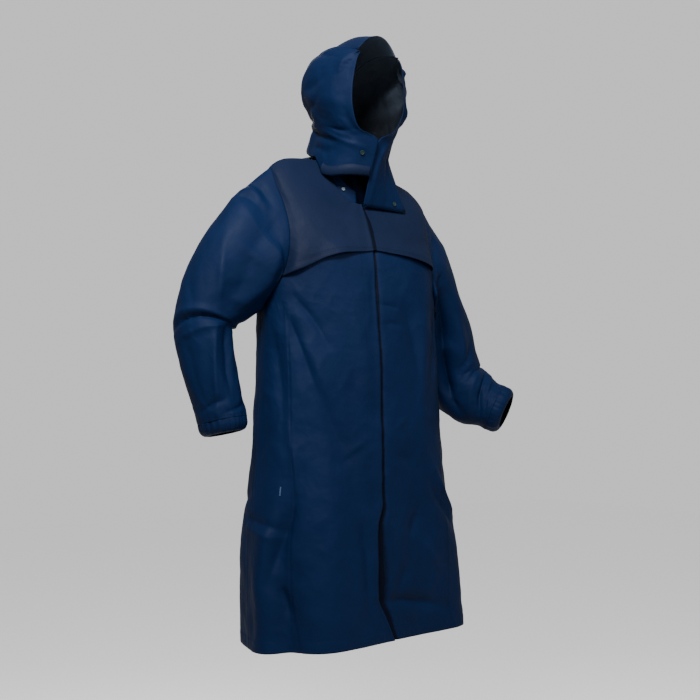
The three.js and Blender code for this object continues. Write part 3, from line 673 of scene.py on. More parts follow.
SLEEVE_CREASES = {
    -1: table(
        "r0 t0 r1 t1 bow width depth edge",
        (4.35, -0.03, 3.95, 0.33, 6, 7, -9, 0.7),
        (4.85, 0, 4.45, 0.31, 5, 12, 3, 0.2),
        (4.12, -0.02, 3.78, 0.28, 5, 9, 4.5, 0.5),
        (4.6, 0.25, 7.2, 0.165, 0, 11, 7, 0.8),
        (4.6, 0.33, 6.8, 0.27, 0, 17, -8, 0.3),
        (1.9, 0.12, 3.4, 0.235, 3, 11, 5.5, 0.7),
        (0.25, 0.18, 1.7, 0.2, 5, 30, -10, 0.1),
        (1.5, 0.215, 3, 0.275, 5, 22, -7, 0.3),
        (1.3, 0.33, 3.3, 0.32, 4, 18, 5, 0.2),
        (0.58, 0, 0.32, 0.125, 4, 9, -7, 0.6),
        (0.95, 0.02, 0.66, 0.11, 3, 8, -4.5, 0.5),
        (0.75, 0, 0.5, 0.115, 3, 7, 3, 0.5),
        (0.45, 0.26, 1.7, 0.33, 0, 12, 4, 0.2),
        (2.4, 0.02, 3.6, 0.1, -4, 18, -3.5, 0.1),
        (5, 0.06, 6.6, 0.08, 2, 16, -3, 0.1),
        (7.3, 0.06, 7, 0.22, 4, 9, -4, 0.3),
        (7.6, 0.24, 7.2, 0.4, -4, 9, -3.5, 0.3),
        (4.4, 0.44, 3.7, 0.66, 6, 12, -7, 0.4),
        (3.6, 0.42, 3.1, 0.6, 5, 12, -5, 0.3),
        (5.2, 0.48, 4.6, 0.7, 4, 13, -5, 0.3),
        (1, 0.68, 3.4, 0.8, 6, 20, 5, 0.1),
        (1.4, 0.86, 4, 0.92, -6, 20, -4.5, 0.1),
        (5, 0.8, 7.4, 0.84, 4, 15, 5, 0.2),
    ),
    1: table(
        "r0 t0 r1 t1 bow width depth edge",
        (5.9, 0.12, 7, 0.37, 6, 9, -7, 0.5),
        (6.4, 0.1, 7.4, 0.3, 4, 11, 3, 0.3),
        (5.4, 0.16, 6.3, 0.4, 4, 14, 3, 0.3),
        (6.9, 0.18, 7.4, 0.34, 3, 8, -2.4, 0.5),
        (2.1, 0.22, 4.7, 0.25, 4, 15, 7, 0.5),
        (1.2, 0.25, 3.2, 0.34, -3, 22, -30, 0.4),
        (3.2, 0.34, 5.3, 0.41, -3, 22, -27, 0.4),
        (3.2, 0.16, 4.4, 0.3, 4, 12, -4.5, 0.3),
        (4.4, 0.24, 5.4, 0.34, 3, 12, -2.8, 0.4),
        (4.9, 0.36, 6.1, 0.44, 4, 13, -3, 0.3),
        (0.5, 0.08, 0.2, 0.22, 4, 13, -5, 0.3),
        (4.6, 0.46, 5.6, 0.62, 5, 12, -6, 0.4),
        (5.4, 0.52, 6.2, 0.72, 4, 12, -5, 0.3),
        (4, 0.6, 4.8, 0.82, 5, 14, -6, 0.3),
        (1, 0.68, 3.6, 0.78, 6, 20, 5, 0.1),
        (1.4, 0.86, 4.2, 0.9, -6, 20, -4.5, 0.1),
        (5.2, 0.86, 6.8, 0.98, 4, 13, -5, 0.3),
    ),
}
HOOD_CREASES = {
    -1: table(
        "s0 c0 s1 c1 bow width depth edge",
        (2, 0.98, 2.3, 0.66, 5, 12, -3.5, 0.2),
        (1.2, 0.8, 1.5, 0.3, 4, 9, -4.5, 0.3),
        (2.3, 0.36, 2.7, 0.1, 4, 9, -3, 0.3),
        (1.75, 0.44, 1.5, 0.12, 3, 7, 2.4, 0.4),
        (4.6, 0.62, 5.6, 0.34, 5, 16, -4, 0.2),
        (3.4, 0.6, 4.4, 0.38, 4, 13, -3, 0.2),
        (6.7, 0.82, 7.3, 0.4, 4, 12, -3.5, 0.3),
        (3.2, 0.8, 6, 0.62, 6, 20, 4, 0.1),
        (6, 0.14, 8, 0.24, 3, 14, 3, 0.1),
        (0.5, 0.62, 0.9, 0.36, 3, 9, -3, 0.3),
    ),
    1: table(
        "s0 c0 s1 c1 bow width depth edge",
        (2, 0.98, 2.3, 0.66, 5, 12, -3.5, 0.2),
        (1.2, 0.84, 1.6, 0.44, 4, 9, -4.5, 0.3),
        (3.4, 0.32, 4.9, 0.12, 6, 12, 6, 0.3),
        (3.3, 0.22, 4.6, 0.06, 4, 10, -4, 0.3),
        (4.8, 0.46, 6.4, 0.2, 6, 17, 5, 0.2),
        (4.9, 0.66, 6, 0.4, 5, 16, -5, 0.2),
        (6.2, 0.26, 7.4, 0.5, 4, 14, -4.5, 0.3),
        (7, 0.1, 7.7, 0.32, 4, 11, 4, 0.3),
        (0.3, 0.05, 1.8, 0.12, 4, 10, 4, 0.2),
        (0.2, 0.2, 1.4, 0.22, -3, 9, -3.5, 0.2),
        (0.5, 0.56, 0.9, 0.4, 3, 9, -3, 0.3),
    ),
}
# A crease's shape across its line, and how it ends: END_WIDTHS and END_LENGTHS are shares
# of its width and length, and END_DEPTH the share of its depth that its ends have.
CREST_SHARES = (0.3, 1.0)
CREST_GAIN = 1.25
CREST_SHARPNESS = 2.2
CREST_TIP = 0.05
END_WIDTHS = 0.7
END_LENGTHS = 0.1
END_DEPTH = 0.35
LATTICE = 64


def crest(distance, width, edge):
    """Height of a crease across its line: a soft roll, or a pinched crest with long feet."""
    soft = bell(distance, width)
    foot = np.sqrt((distance / width) ** 2 * CREST_SHARPNESS + CREST_TIP)
    return mix(soft, CREST_GAIN * np.exp(-foot), mix(*CREST_SHARES, edge))


def creases(rows, u, v, to_mm):
    """Travel of a table of creases. to_mm(first, second): the coordinates in millimetres."""
    x, y = to_mm(u, v)
    travel = 0.0
    for first0, second0, first1, second1, bow, width, depth, edge in zip(*rows.values()):
        x0, y0 = to_mm(first0, second0)
        x1, y1 = to_mm(first1, second1)
        length = math.hypot(x1 - x0, y1 - y0)
        across_x, across_y = (y0 - y1) / length, (x1 - x0) / length
        along = ((x - x0) * (x1 - x0) + (y - y0) * (y1 - y0)) / length**2
        inside = np.clip(along, 0, 1)
        arch = 4 * inside * (1 - inside)
        away = (x - x0) * across_x + (y - y0) * across_y - bow * arch
        fading = bell((along - inside) * length, END_WIDTHS * width + END_LENGTHS * length)
        ends = fading * mix(END_DEPTH, 1, smooth(arch))
        travel = travel + depth * crest(away, width, edge) * ends
    return travel


def lattice_noise(x, y, seed):
    """Smooth noise in -1 to 1 on a repeating lattice, at places in lattice cells."""
    values = np.random.RandomState(seed).uniform(-1, 1, (LATTICE, LATTICE))
    x0, y0 = np.floor(x).astype(int), np.floor(y).astype(int)
    tx, ty = smooth(x - x0), smooth(y - y0)

    def corner(right, up):
        return values[(x0 + right) % LATTICE, (y0 + up) % LATTICE]

    return mix(mix(corner(0, 0), corner(1, 0), tx), mix(corner(0, 1), corner(1, 1), tx), ty)


def crumple(x, y, seed, strength=1.0):
    """Slack and light crumpling of coated nylon: broad waves and faint creased facets.
    The divisors are the sizes of the waves and facets in mm."""
    waves = 2.0 * lattice_noise(x / 62, y / 130, seed)
    slack = 0.8 * lattice_noise(x / 30 + y / 90, y / 46, seed + 1)
    facets = np.abs(lattice_noise(x / 38 - y / 90, y / 52 + x / 110, seed + 2))
    fine = np.abs(lattice_noise(x / 15 + y / 40, y / 19, seed + 3))
    return strength * (waves + slack + (0.4 - facets) + 0.4 * (0.4 - fine))


# ---------- dressed surfaces ----------
SEAM_CALM = 9.0
FOLD_GAIN = 1.5
FOLD_LEVELS = (-120, -380)
BODY_SLACK = (0.5, 1.5)
BODY_SEED = 11
ARC_HEIGHT = -600.0
ARC_ANGLES = np.arange(-460.0, 641.0, 2.0)
ARC_POINTS = body_surface(ARC_ANGLES, ARC_HEIGHT)
ARC_STEPS = np.linalg.norm(np.diff(ARC_POINTS, axis=0), axis=1)
ARC_LENGTHS = np.concatenate([[0.0], np.cumsum(ARC_STEPS)])
SLEEVE_ROUND = 420.0
RING_LENGTH = 64.0
SLEEVE_GAIN = 1.3
SLEEVE_SLACK = 1.7
SLEEVE_SEED = 31
SLEEVE_RADIUS = 90
SLEEVE_APART = 300
SLEEVE_STARTS = (0, 0.5)
SLEEVE_ENDS = (8.3, 7.6)
GATHER_DEPTH = 0.7
GATHER_RINGS = (7.2, 8.0)
PLEATS = 26
PLEAT_SHIFT = 2.2
PLEAT_CHANGE = 0.4
HOOD_ROUND = 300.0
SECTION_LENGTH = 44.0
HOOD_GAIN = 1.4
HOOD_SLACK = 1.8
HOOD_SEED = 51
FACE_SLACK = 0.3
FACE_CALM = (0, 0.08)
CROWN_CALM = (1, 0.9)


def body_mm(angle, height):
    return np.interp(angle, ARC_ANGLES, ARC_LENGTHS), height


def body_slack(angle, height):
    """Folds that the body panels carry besides the largest ones."""
    x, y = body_mm(angle, height)
    lower = fade(height, *FOLD_LEVELS)
    folds = sum(creases(BODY_CREASES, angle + turn, height, body_mm) for turn in (-360, 0, 360))
    from_seam = np.abs(np.abs(turn_between(angle, 0)) - 90)
    slack = crumple(x, y, BODY_SEED) * smooth(from_seam / SEAM_CALM)
    return FOLD_GAIN * lower * folds + mix(*BODY_SLACK, lower) * slack


def dressed_body(angle, height, lift=0.0):
    angle, height = paired(angle, height)
    return body_point(angle, height, lift + body_slack(angle, height))


def sleeve_mm(ring, turn):
    return turn * SLEEVE_ROUND, -ring * RING_LENGTH


def pleats(turn):
    """Uneven gathers round a sleeve's end, from -1 to 1."""
    loop = turn * 2 * np.pi
    shifted = PLEATS * loop + PLEAT_SHIFT * np.sin(3 * loop)
    return np.sin(shifted) * mix(1, np.sin(2 * loop), PLEAT_CHANGE)


def sleeve_slack(side, ring, turn):
    _, y = sleeve_mm(ring, turn)
    rows = SLEEVE_CREASES[side]
    folds = sum(creases(rows, ring, turn + shift, sleeve_mm) for shift in (0, -1, 1))
    loop = turn * 2 * np.pi
    x, y = SLEEVE_RADIUS * np.cos(loop) + SLEEVE_APART, y + SLEEVE_RADIUS * np.sin(loop)
    slack = SLEEVE_GAIN * folds + crumple(x, y, SLEEVE_SEED + side, SLEEVE_SLACK)
    gathers = GATHER_DEPTH * fade(ring, *GATHER_RINGS) * pleats(turn)
    return slack * fade(ring, *SLEEVE_STARTS) * fade(ring, *SLEEVE_ENDS) + gathers


def hood_mm(section, share):
    return share * HOOD_ROUND, section * SECTION_LENGTH


def hood_slack(side, section, share):
    x, y = hood_mm(section, share)
    folds = HOOD_GAIN * creases(HOOD_CREASES[side], section, share, hood_mm)
    slack = folds + crumple(x, y, HOOD_SEED + side, HOOD_SLACK)
    return slack * mix(FACE_SLACK, 1, fade(share, *FACE_CALM)) * fade(share, *CROWN_CALM)


# ---------- materials ----------
CLOUD_SCALE = 7.0
PATCH_SCALE = 16.0
CRINKLE_SCALE = 55.0
CRINKLE_HEIGHT = 0.0016
WEAVE_PERIOD = 0.0011
WEAVE_HEIGHT = 0.00006
WEAVE_STRENGTH = 0.6
WAVE_PERIOD = 2 * math.pi / 20  # of a wave texture at scale 1
PAINTED_FILL_HEIGHTS = (0.11, 0.24)
GLOSS_SPREAD = (-0.05, 0.06)
NYLON_SHARES = (0.3, 0.7)
WORN_SHARES = (0.35, 0.65)
WORN_HEIGHT = 0.0002
WORN_DULL = 0.8
WORN_SPECULAR = 0.06


def feed(tree, inputs, values):
    """Gives a node's inputs their values, or links them from the outputs of other nodes."""
    for name, value in values.items():
        if isinstance(value, bpy.types.NodeSocket):
            tree.links.new(value, inputs[name])
        else:
            inputs[name].default_value = value


def node(tree, kind, output, values, **settings):
    """One output of a new node."""
    made = tree.nodes.new(kind)
    for name, value in settings.items():
        setattr(made, name, value)
    feed(tree, made.inputs, values)
    return made.outputs[output]


def colour_ramp(tree, source, places, colours):
    ramp = tree.nodes.new("ShaderNodeValToRGB")
    for element, place, colour in zip(ramp.color_ramp.elements, places, colours):
        element.position = place
        element.color = (*colour, 1)
    tree.links.new(source, ramp.inputs["Fac"])
    return ramp.outputs["Color"]


def noise(tree, places, scale, detail=3.0, roughness=0.55):
    values = {"Vector": places, "Scale": scale, "Detail": detail, "Roughness": roughness}
    return node(tree, "ShaderNodeTexNoise", "Fac", values)


def map_range(tree, value, start, end, kind="LINEAR"):
    """The value taken from one pair of figures to the other."""
    values = dict(zip(("From Min", "From Max", "To Min", "To Max"), (*start, *end)), Value=value)
    return node(tree, "ShaderNodeMapRange", "Result", values, interpolation_type=kind)


def bump(tree, height, distance, strength=1.0, **normal):
    values = {"Height": height, "Distance": distance, "Strength": strength, **normal}
    return node(tree, "ShaderNodeBump", "Normal", values)


def weave(tree, places, period):
    """Warp and weft of a plain weave, as a height."""
    values = {"Vector": places, "Scale": WAVE_PERIOD / period}
    threads = [
        node(tree, "ShaderNodeTexWave", "Fac", values, wave_type="BANDS", bands_direction=direction)
        for direction in "XY"]
    return node(tree, "ShaderNodeMath", 0, dict(enumerate(threads)), operation="MULTIPLY")


def painted_fill_above(tree, places, colour, times):
    """Painted fill light: the colour made paler from the bottom of the hood's face to its top, where the
    inside of the hood lies in shade.
    """
    height = node(tree, "ShaderNodeSeparateXYZ", "Z", {"Vector": places})
    level = map_range(tree, height, PAINTED_FILL_HEIGHTS, (1.0, times), "SMOOTHSTEP")
    return node(tree, "ShaderNodeVectorMath", "Vector", {0: colour, "Scale": level}, operation="SCALE")


def coated_nylon(name, dark, light, roughness=0.6, crinkle=0.6, specular=0.025, above=1.0):
    """Woven nylon with a thin coating: slightly uneven colour and gloss, fine crinkles.
    above: how many times paler the colour is painted at the top of the hood, a painted fill light for its
    shaded inside."""
    material, tree, shader = new_material(name)
    places = tree.nodes.new("ShaderNodeTexCoord").outputs
    local = places["Object"]
    colour = colour_ramp(tree, noise(tree, local, CLOUD_SCALE, 4.0), NYLON_SHARES, (dark, light))
    # Painted fill light: the colour is made paler upwards, to lift the hood's shaded inner top.
    if above > 1:
        colour = painted_fill_above(tree, local, colour, above)
    gloss = tuple(roughness + more for more in GLOSS_SPREAD)
    crinkles = noise(tree, local, CRINKLE_SCALE, 5.0, 0.6)
    surface = bump(tree, crinkles, CRINKLE_HEIGHT * crinkle)
    threads = weave(tree, places["UV"], WEAVE_PERIOD)
    feed(tree, shader.inputs, {
        "Base Color": colour,
        "Roughness": map_range(tree, noise(tree, local, PATCH_SCALE, 4.0), NYLON_SHARES, gloss),
        "Specular IOR Level": specular,
        "Normal": bump(tree, threads, WEAVE_HEIGHT, WEAVE_STRENGTH, Normal=surface),
    })
    return material


def plain_finish(name, colour, roughness, grain=90.0):
    """Thread or enamel, slightly worn."""
    material, tree, shader = new_material(name)
    worn = noise(tree, tree.nodes.new("ShaderNodeTexCoord").outputs["Object"], grain)
    dull = tuple(WORN_DULL * part for part in colour)
    feed(tree, shader.inputs, {
        "Base Color": colour_ramp(tree, worn, WORN_SHARES, (dull, colour)),
        "Roughness": roughness,
        "Specular IOR Level": WORN_SPECULAR,
        "Normal": bump(tree, worn, WORN_HEIGHT),
    })
    return material


SHELL = coated_nylon("shell_nylon", (0.0005, 0.0028, 0.0118), (0.0008, 0.0036, 0.0148))
# A greyer, less blue copy of the shell colour for the yokes and the hood's hem band: painted sheen,
# standing in for the greyish tone that light lays on these upper pieces.
PAINTED_SHEEN_SHELL = coated_nylon("painted_sheen_nylon", (0.0014, 0.0030, 0.0095), (0.0019, 0.0038, 0.0118))
# The hood's grey inner face. above=17 paints it paler towards the top of the hood, as painted fill light
# for its shaded upper inside.
LINING = coated_nylon(
    "coated_inner_face", (0.0016, 0.0022, 0.0032), (0.0026, 0.0033, 0.0046),
    crinkle=0.9, specular=0.03, above=17.0)
THREAD = plain_finish("navy_thread", (0.0004, 0.0021, 0.0088), 0.8, grain=900.0)
TACK = plain_finish("pale_thread", (0.035, 0.065, 0.11), 0.6, grain=900.0)
STUD = plain_finish("grey_green_enamel", (0.005, 0.011, 0.0105), 0.45)
STUD_PALE = plain_finish("pale_enamel", (0.050, 0.066, 0.082), 0.45)
INSIDE = coated_nylon("navy_back", (0.0006, 0.0022, 0.0075), (0.0010, 0.0032, 0.0100))
# Painted shadow in three grades, from a soft edge to nearly black, for the strip of the left front and yoke
# beside the right front's edge, where the closing's gap lies in shade.
CLOSING_SHADOW_PAINTS = [
    coated_nylon("painted_shadow_edge", (0.0004, 0.0021, 0.0090), (0.0006, 0.0027, 0.0112), 0.65),
    coated_nylon("painted_shadow_middle", (0.0003, 0.0013, 0.0058), (0.0004, 0.0017, 0.0070), 0.65),
    coated_nylon("painted_shadow_core", (0.0001, 0.0006, 0.0026), (0.0002, 0.0008, 0.0032), 0.65),
]


# ---------- meshes ----------
def grid_normals(points, ring):
    """Outward directions of a grid of points, rows first."""
    along = np.gradient(points, axis=0)
    if ring:
        across = (np.roll(points, -1, axis=1) - np.roll(points, 1, axis=1)) / 2
    else:
        across = np.gradient(points, axis=1)
    return unit(np.cross(along, across))


def grid_quads(rows, columns, ring):
    """Corners of the faces of a grid. In a ring the last column joins the first."""
    row, here = grid(np.arange(rows - 1), np.arange(columns if ring else columns - 1))
    beside = row * columns + (here + 1) % columns
    here = row * columns + here
    return np.stack([here, here + columns, beside + columns, beside], -1).reshape(-1, 4)


def grid_rims(rows, columns, ring):
    """The grid's open edges, each as a line of points that runs with its faces outward."""
    first = np.arange(columns)
    last = (rows - 1) * columns + first
    if ring:
        return [np.append(first, first[0]), np.append(last, last[0])[::-1]]
    left = np.arange(rows) * columns
    return [first, last[::-1], left[::-1], left + columns - 1]


def cloth(name, points, ring=False, flip=False, wall=WALL, shell=SHELL, lining=INSIDE):
    """A thin closed shell on a grid of outer points. Its first material is the outside,
    and the second its inner face."""
    rows, columns = points.shape[:2]
    inner = points - grid_normals(points, ring) * (-wall if flip else wall)
    vertices = np.concatenate([points.reshape(-1, 3), inner.reshape(-1, 3)]) * MM
    quads = grid_quads(rows, columns, ring)
    offset = rows * columns
    faces = [quads, quads[:, ::-1] + offset]
    for line in grid_rims(rows, columns, ring):
        a, b = line[:-1], line[1:]
        faces.append(np.stack([a, b, b + offset, a + offset], -1))
    faces = np.concatenate(faces)
    if flip:
        faces = faces[:, ::-1]
    mesh = bpy.data.meshes.new(name)
    mesh.from_pydata(vertices.tolist(), [], faces.tolist())
    mesh.polygons.foreach_set("use_smooth", np.ones(len(faces), bool))
    mesh.materials.append(shell)
    mesh.materials.append(lining)
    index = np.zeros(len(faces), int)
    index[len(quads):2 * len(quads)] = 1
    mesh.polygons.foreach_set("material_index", index)
    weave_map(mesh, points)
    mesh.update()
    return add_object(name, mesh)


def weave_map(mesh, points):
    """A UV map in metres along the cloth, for its weave."""
    down = np.linalg.norm(np.diff(points, axis=0), axis=2).mean(axis=1)
    wide = np.linalg.norm(np.diff(points, axis=1), axis=2).mean(axis=0)
    v = np.concatenate([[0.0], np.cumsum(down)]) * MM
    u = np.concatenate([[0.0], np.cumsum(wide)]) * MM
    grid_u, grid_v = np.meshgrid(u, v)
    flat = np.stack([grid_u.ravel(), grid_v.ravel()], -1)
    both = np.concatenate([flat, flat])
    loops = np.empty(len(mesh.loops), int)
    mesh.loops.foreach_get("vertex_index", loops)
    layer = mesh.uv_layers.new(name="weave")
    layer.data.foreach_set("uv", both[loops].ravel())


def finish_piece(piece, slot, *nodes):
    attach(piece, "root")
    if nodes:
        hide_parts(*nodes)
    return piece


def panel(name, points, slot="shell_cloth", **shell):
    """A cloth piece that stands for the CAD node of that name."""
    return finish_piece(cloth(name + "_cloth", points, **shell), slot, name)


# ---------- body panels ----------
SEAM_SHARE = table(
    "height share", (-18, 0.30), (-330, 0.33), (-500, 0.37), (-660, 0.41), (-764, 0.45), (-1100, 0.48))
SEAM_TOP = -356.0
SEAM_FADE = 30
SEAM_RIDGE = (0.7, 7)
SEAM_GROOVE = (-1.5, 2.2)
HEM_TURN = 24.0
HEM_STITCH = HEM_HEIGHT + HEM_TURN
HEM_STAND = 0.8
HEM_STEP = 3
HEM_GROOVE = (-0.5, 2.0)
HEM_ROWS = (-2.5, -1.2, 0, 1.2, 2.5)
ROW_SPACING = {"front": 4.0, "back": 5.4}
ROW_REACH = 16
ROW_CLOSER = 1.6
ROW_APART = 0.96
SEAM_CELLS = 44
CLOSING_CELLS = 62
LAST_CELLS = 18
FINER_CELLS = 46
BACK_CELLS = 132
# How the fronts stand at the closing: pairs are for where they meet and where they part.
PARTING_HEIGHT = -945
GAP_SPAN = 85
GAP_DEPTH = (5.5, 12.5)
GAP_SHOWN = (12, 32)
GAP_HIDDEN = 9
ROLL_SPAN = 80
ROLL_STAND = (1.8, 4.0)
ROLL_WIDTH = (10, 14)
DENT_HEIGHT = -320
DENT_SPAN = 55
DENT_PLACE = -6
DENT = (-4.5, 12)
# Where the painted shadow of the closing's gap lies on the left front, how wide it is, and the steps
# between its grades, in mm.
SHADOW_PAINT_SPAN = 100
SHADOW_PAINT_WIDTHS = (12.5, 37.5)
SHADOW_PAINT_STEPS = (0.8, 4.8)
LAP_ADDED = 6.0
LAP_LEVELS = (-790, -850)
LAP_CELLS = (1.8, 2.0)


def body_rows(spacing):
    """Heights of a body panel's rows, closer together at the armhole's ends and at the
    hem's stitching."""
    count = int(round((NECK_HEIGHT - HEM_HEIGHT) / spacing)) + 1
    places = list(np.linspace(NECK_HEIGHT, HEM_HEIGHT, count))
    for end in (SHOULDER_HEIGHT, UNDERARM_HEIGHT):
        closer = end + np.arange(-ROW_REACH, ROW_REACH + 0.1, ROW_CLOSER)
        places += [place for place in closer if HEM_HEIGHT < place < NECK_HEIGHT]
    places = sorted(places, reverse=True)
    kept = [places[0]]
    for place in places[1:-1]:
        if min(kept[-1] - place, place - HEM_HEIGHT) > ROW_APART:
            kept.append(place)
    return np.array(sorted({*kept, HEM_HEIGHT, *(HEM_STITCH + step for step in HEM_ROWS)}, reverse=True))


def hem_lift(height):
    """The turned hem is a little thicker than the cloth above its stitch line."""
    past = height - HEM_STITCH
    return HEM_STAND * fade(past, HEM_STEP, 0) + ridge(past, *HEM_GROOVE)


def seam_angle(side, height):
    share = column(SEAM_SHARE, height, "share")
    return mix(side * front_limit(height), closing(height, side), share)


def front_angle(side, height, cell):
    """Angle on a front. cell: 0 at its side, 1 at its lengthways seam, 2 at the closing."""
    start, seam, end = side * front_limit(height), seam_angle(side, height), closing(height, side)
    return np.where(cell < 1, mix(start, seam, cell), mix(seam, end, cell - 1))


def mm_past(angle, edge, height):
    """Millimetres round the body from an edge's angle."""
    return body_mm(angle, height)[0] - body_mm(edge, height)[0]


def seam_groove(side, angle, height):
    past = mm_past(angle, seam_angle(side, height), height)
    below = fade(height, SEAM_TOP, SEAM_TOP - SEAM_FADE)
    return below * (ridge(past, *SEAM_RIDGE) + ridge(past, *SEAM_GROOVE))


def at_closing(angle, height, span):
    """Millimetres past the right front's edge, and how far the fronts part there."""
    return mm_past(angle, closing(height), height), bell(height - PARTING_HEIGHT, span)


def closing_gap(angle, height):
    """The left front falls away under the right front's edge, deepest where they part."""
    past, parted = at_closing(angle, height, GAP_SPAN)
    shown = bell(np.maximum(0, past), mix(*GAP_SHOWN, parted))
    hidden = bell(np.maximum(0, -past), GAP_HIDDEN)
    return -mix(*GAP_DEPTH, parted) * shown * hidden


def closing_roll(angle, height):
    """The right front's doubled edge stands up a little, with a dent below the yoke."""
    past, parted = at_closing(angle, height, ROLL_SPAN)
    roll = ridge(past, mix(*ROLL_STAND, parted), mix(*ROLL_WIDTH, parted))
    return roll + ridge(past - DENT_PLACE, *DENT) * bell(height - DENT_HEIGHT, DENT_SPAN)


def dressed_front(side, angle, height):
    lift = hem_lift(height) + seam_groove(side, angle, height)
    if side < 0:
        lift = lift + overlap_lift(angle) + closing_roll(angle, height)
    else:
        lift = lift + closing_gap(angle, height)
    return dressed_body(angle, height, lift)


def paint_underlap_shadow(piece, angle, height):
    """The strip of the left front beside the right front's edge gets painted shadow in three grades,
    darkest next to the edge.
    """
    past, parted = at_closing(angle, height, SHADOW_PAINT_SPAN)
    index = np.zeros(len(piece.data.polygons), int)
    piece.data.polygons.foreach_get("material_index", index)
    # Each grade of painted shadow covers a narrower strip, so the strip darkens towards the edge.
    for grade, facing in enumerate(CLOSING_SHADOW_PAINTS):
        shadowed = past < mix(*SHADOW_PAINT_WIDTHS, parted) - grade * mix(*SHADOW_PAINT_STEPS, parted)
        shadowed = (shadowed[1:, 1:] & shadowed[:-1, :-1]).ravel()
        index[:shadowed.size][shadowed] = len(piece.data.materials)
        piece.data.materials.append(facing)
    piece.data.polygons.foreach_set("material_index", index)


def front_panel(side):
    """A front. The left one has finer cells at the closing, where its painted shadow ends, and a
    hidden underlap that is widened near the hem."""
    cells = np.concatenate([np.linspace(0, 1, SEAM_CELLS)[:-1], np.linspace(1, 2, CLOSING_CELLS)])
    if side > 0:
        cells = np.concatenate([cells[:-LAST_CELLS], np.linspace(cells[-LAST_CELLS], 2, FINER_CELLS)])
    height, cell = grid(body_rows(ROW_SPACING["front"]), cells)
    angle = front_angle(side, height, cell)
    if side > 0:
        angle = angle - LAP_ADDED * fade(height, *LAP_LEVELS) * fade(cell, *LAP_CELLS)
    piece = panel("front_" + SIDES[side], dressed_front(side, angle, height), flip=side > 0)
    if side > 0:
        paint_underlap_shadow(piece, angle, height)
    return piece


def dressed_back(angle, height):
    return dressed_body(angle, height, hem_lift(height))


def back_panel():
    height, share = grid(body_rows(ROW_SPACING["back"]), np.linspace(0, 1, BACK_CELLS))
    angle = mix(back_limit(height), 360 - back_limit(height), share)
    return panel("back", dressed_back(angle, height))


# ---------- yoke flaps ----------
YOKE_FLARES = {
    -1: table("across rise", (0, 0), (0.12, 0.2), (0.36, 1.5), (0.6, 0.5), (0.84, 1.3), (1, 0.2)),
    1: table("across rise", (0, 0), (0.2, 0.4), (0.5, 0.9), (0.75, 1.3), (0.92, 0.8), (1, 0.1)),
}
YOKE_CELLS = (84, 78)
YOKE_SPREAD = 1.5
YOKE_INSET = 0.3
YOKE_LOOSE = (0.62, 1)
YOKE_TUCKED = (0.85, 1)
YOKE_TUCK = 0.2
YOKE_HEM = (0.95, 0.97)
YOKE_THICK = 0.5
YOKE_STITCH = 0.945
YOKE_GROOVE = (-0.5, 0.008)


def yoke_point(side, fall, across, lift=0.0):
    """fall: 0 at the neck, 1 at the loose edge. across: 0 at the closing, 1 at the armhole."""
    rough = side * YOKE_WIDTH * across
    edge = side_height(rough, column(YOKE_EDGE[side], np.abs(rough), "height"))
    height = mix(NECK_HEIGHT, edge, fall**YOKE_SPREAD)
    middle = closing(height) + (0.0 if side < 0 else YOKE_GAP)
    angle = mix(middle, side * (front_limit(height) - YOKE_INSET), across)
    base = overlap_lift(angle) + closing_roll(angle, height) if side < 0 else 0.0
    flare = YOKE_FLARE * fade(fall, *YOKE_LOOSE) * column(YOKE_FLARES[side], across, "rise")
    stand = YOKE_STAND * mix(1.0, YOKE_TUCK, fade(across, *YOKE_TUCKED))
    return dressed_body(angle, height, lift + base + stand + flare)


def yoke(side):
    """A yoke with a turned edge, in the painted sheen copy of the shell. The left one's edge at the closing
    gets the darkest painted shadow.
    """
    fall, across = grid(*(np.linspace(0, 1, count) for count in YOKE_CELLS))
    lift = YOKE_THICK * fade(fall, *YOKE_HEM) + ridge(fall - YOKE_STITCH, *YOKE_GROOVE)
    points = yoke_point(side, fall, across, lift)
    piece = panel(
        "yoke_" + SIDES[side], points, "shoulder_cloth", flip=side < 0, wall=FLAP_WALL, shell=PAINTED_SHEEN_SHELL)
    if side > 0:
        # The left yoke's first columns at the closing get the darkest painted shadow of the closing's gap.
        piece.data.materials.append(CLOSING_SHADOW_PAINTS[-1])
        for polygon in piece.data.polygons:
            if max(corner % points.shape[1] for corner in polygon.vertices) <= YOKE_SHADOW_COLUMNS:
                polygon.material_index = 2
    return piece


# ---------- sleeves and cuffs ----------
SLEEVE_TURNS = np.linspace(0, 1, 121)[:-1]
SLEEVE_CELLS = np.concatenate([np.linspace(0, 1, 26)[:-1], np.linspace(1, SLEEVE_END, 112)])
SEAM_TUCK = 3.0
SEAM_SINK = 1.5
WITH_BODY = (0.8, 0)
CUFF_TURNS = np.linspace(0, 1, 241)[:-1]
CUFF_CELLS = np.linspace(0, 3, 22)
CUFF_PLEATS = 0.016
CUFF_PLEATED = (3.2, 1.2)
CUFF_WAVES = 9
CUFF_WAVE = 0.012


def dressed_sleeve(side, rings):
    """Points of a sleeve on its rings. The first ones follow the dressed body's armhole."""
    ring, turn = grid(rings, SLEEVE_TURNS)
    points = sleeve_point(side, ring, turn)
    slack = sleeve_slack(side, ring, turn)
    points = points - side * grid_normals(points, True) * slack[..., None]
    angle, height = armhole_place(side, turn)
    with_body = body_slack(angle, height) * fade(ring, *WITH_BODY)
    return points + body_normal(angle, height) * with_body[..., None]


def sleeve(side):
    """A sleeve, with a row tucked under the body's edge before its first one."""
    points = dressed_sleeve(side, SLEEVE_CELLS)
    tucked = points[0] - unit(points[1] - points[0]) * SEAM_TUCK
    tucked = tucked - body_normal(*armhole_place(side, SLEEVE_TURNS)) * SEAM_SINK
    points = np.concatenate([tucked[None], points])
    return panel("sleeve_" + SIDES[side], points, ring=True, flip=side > 0)


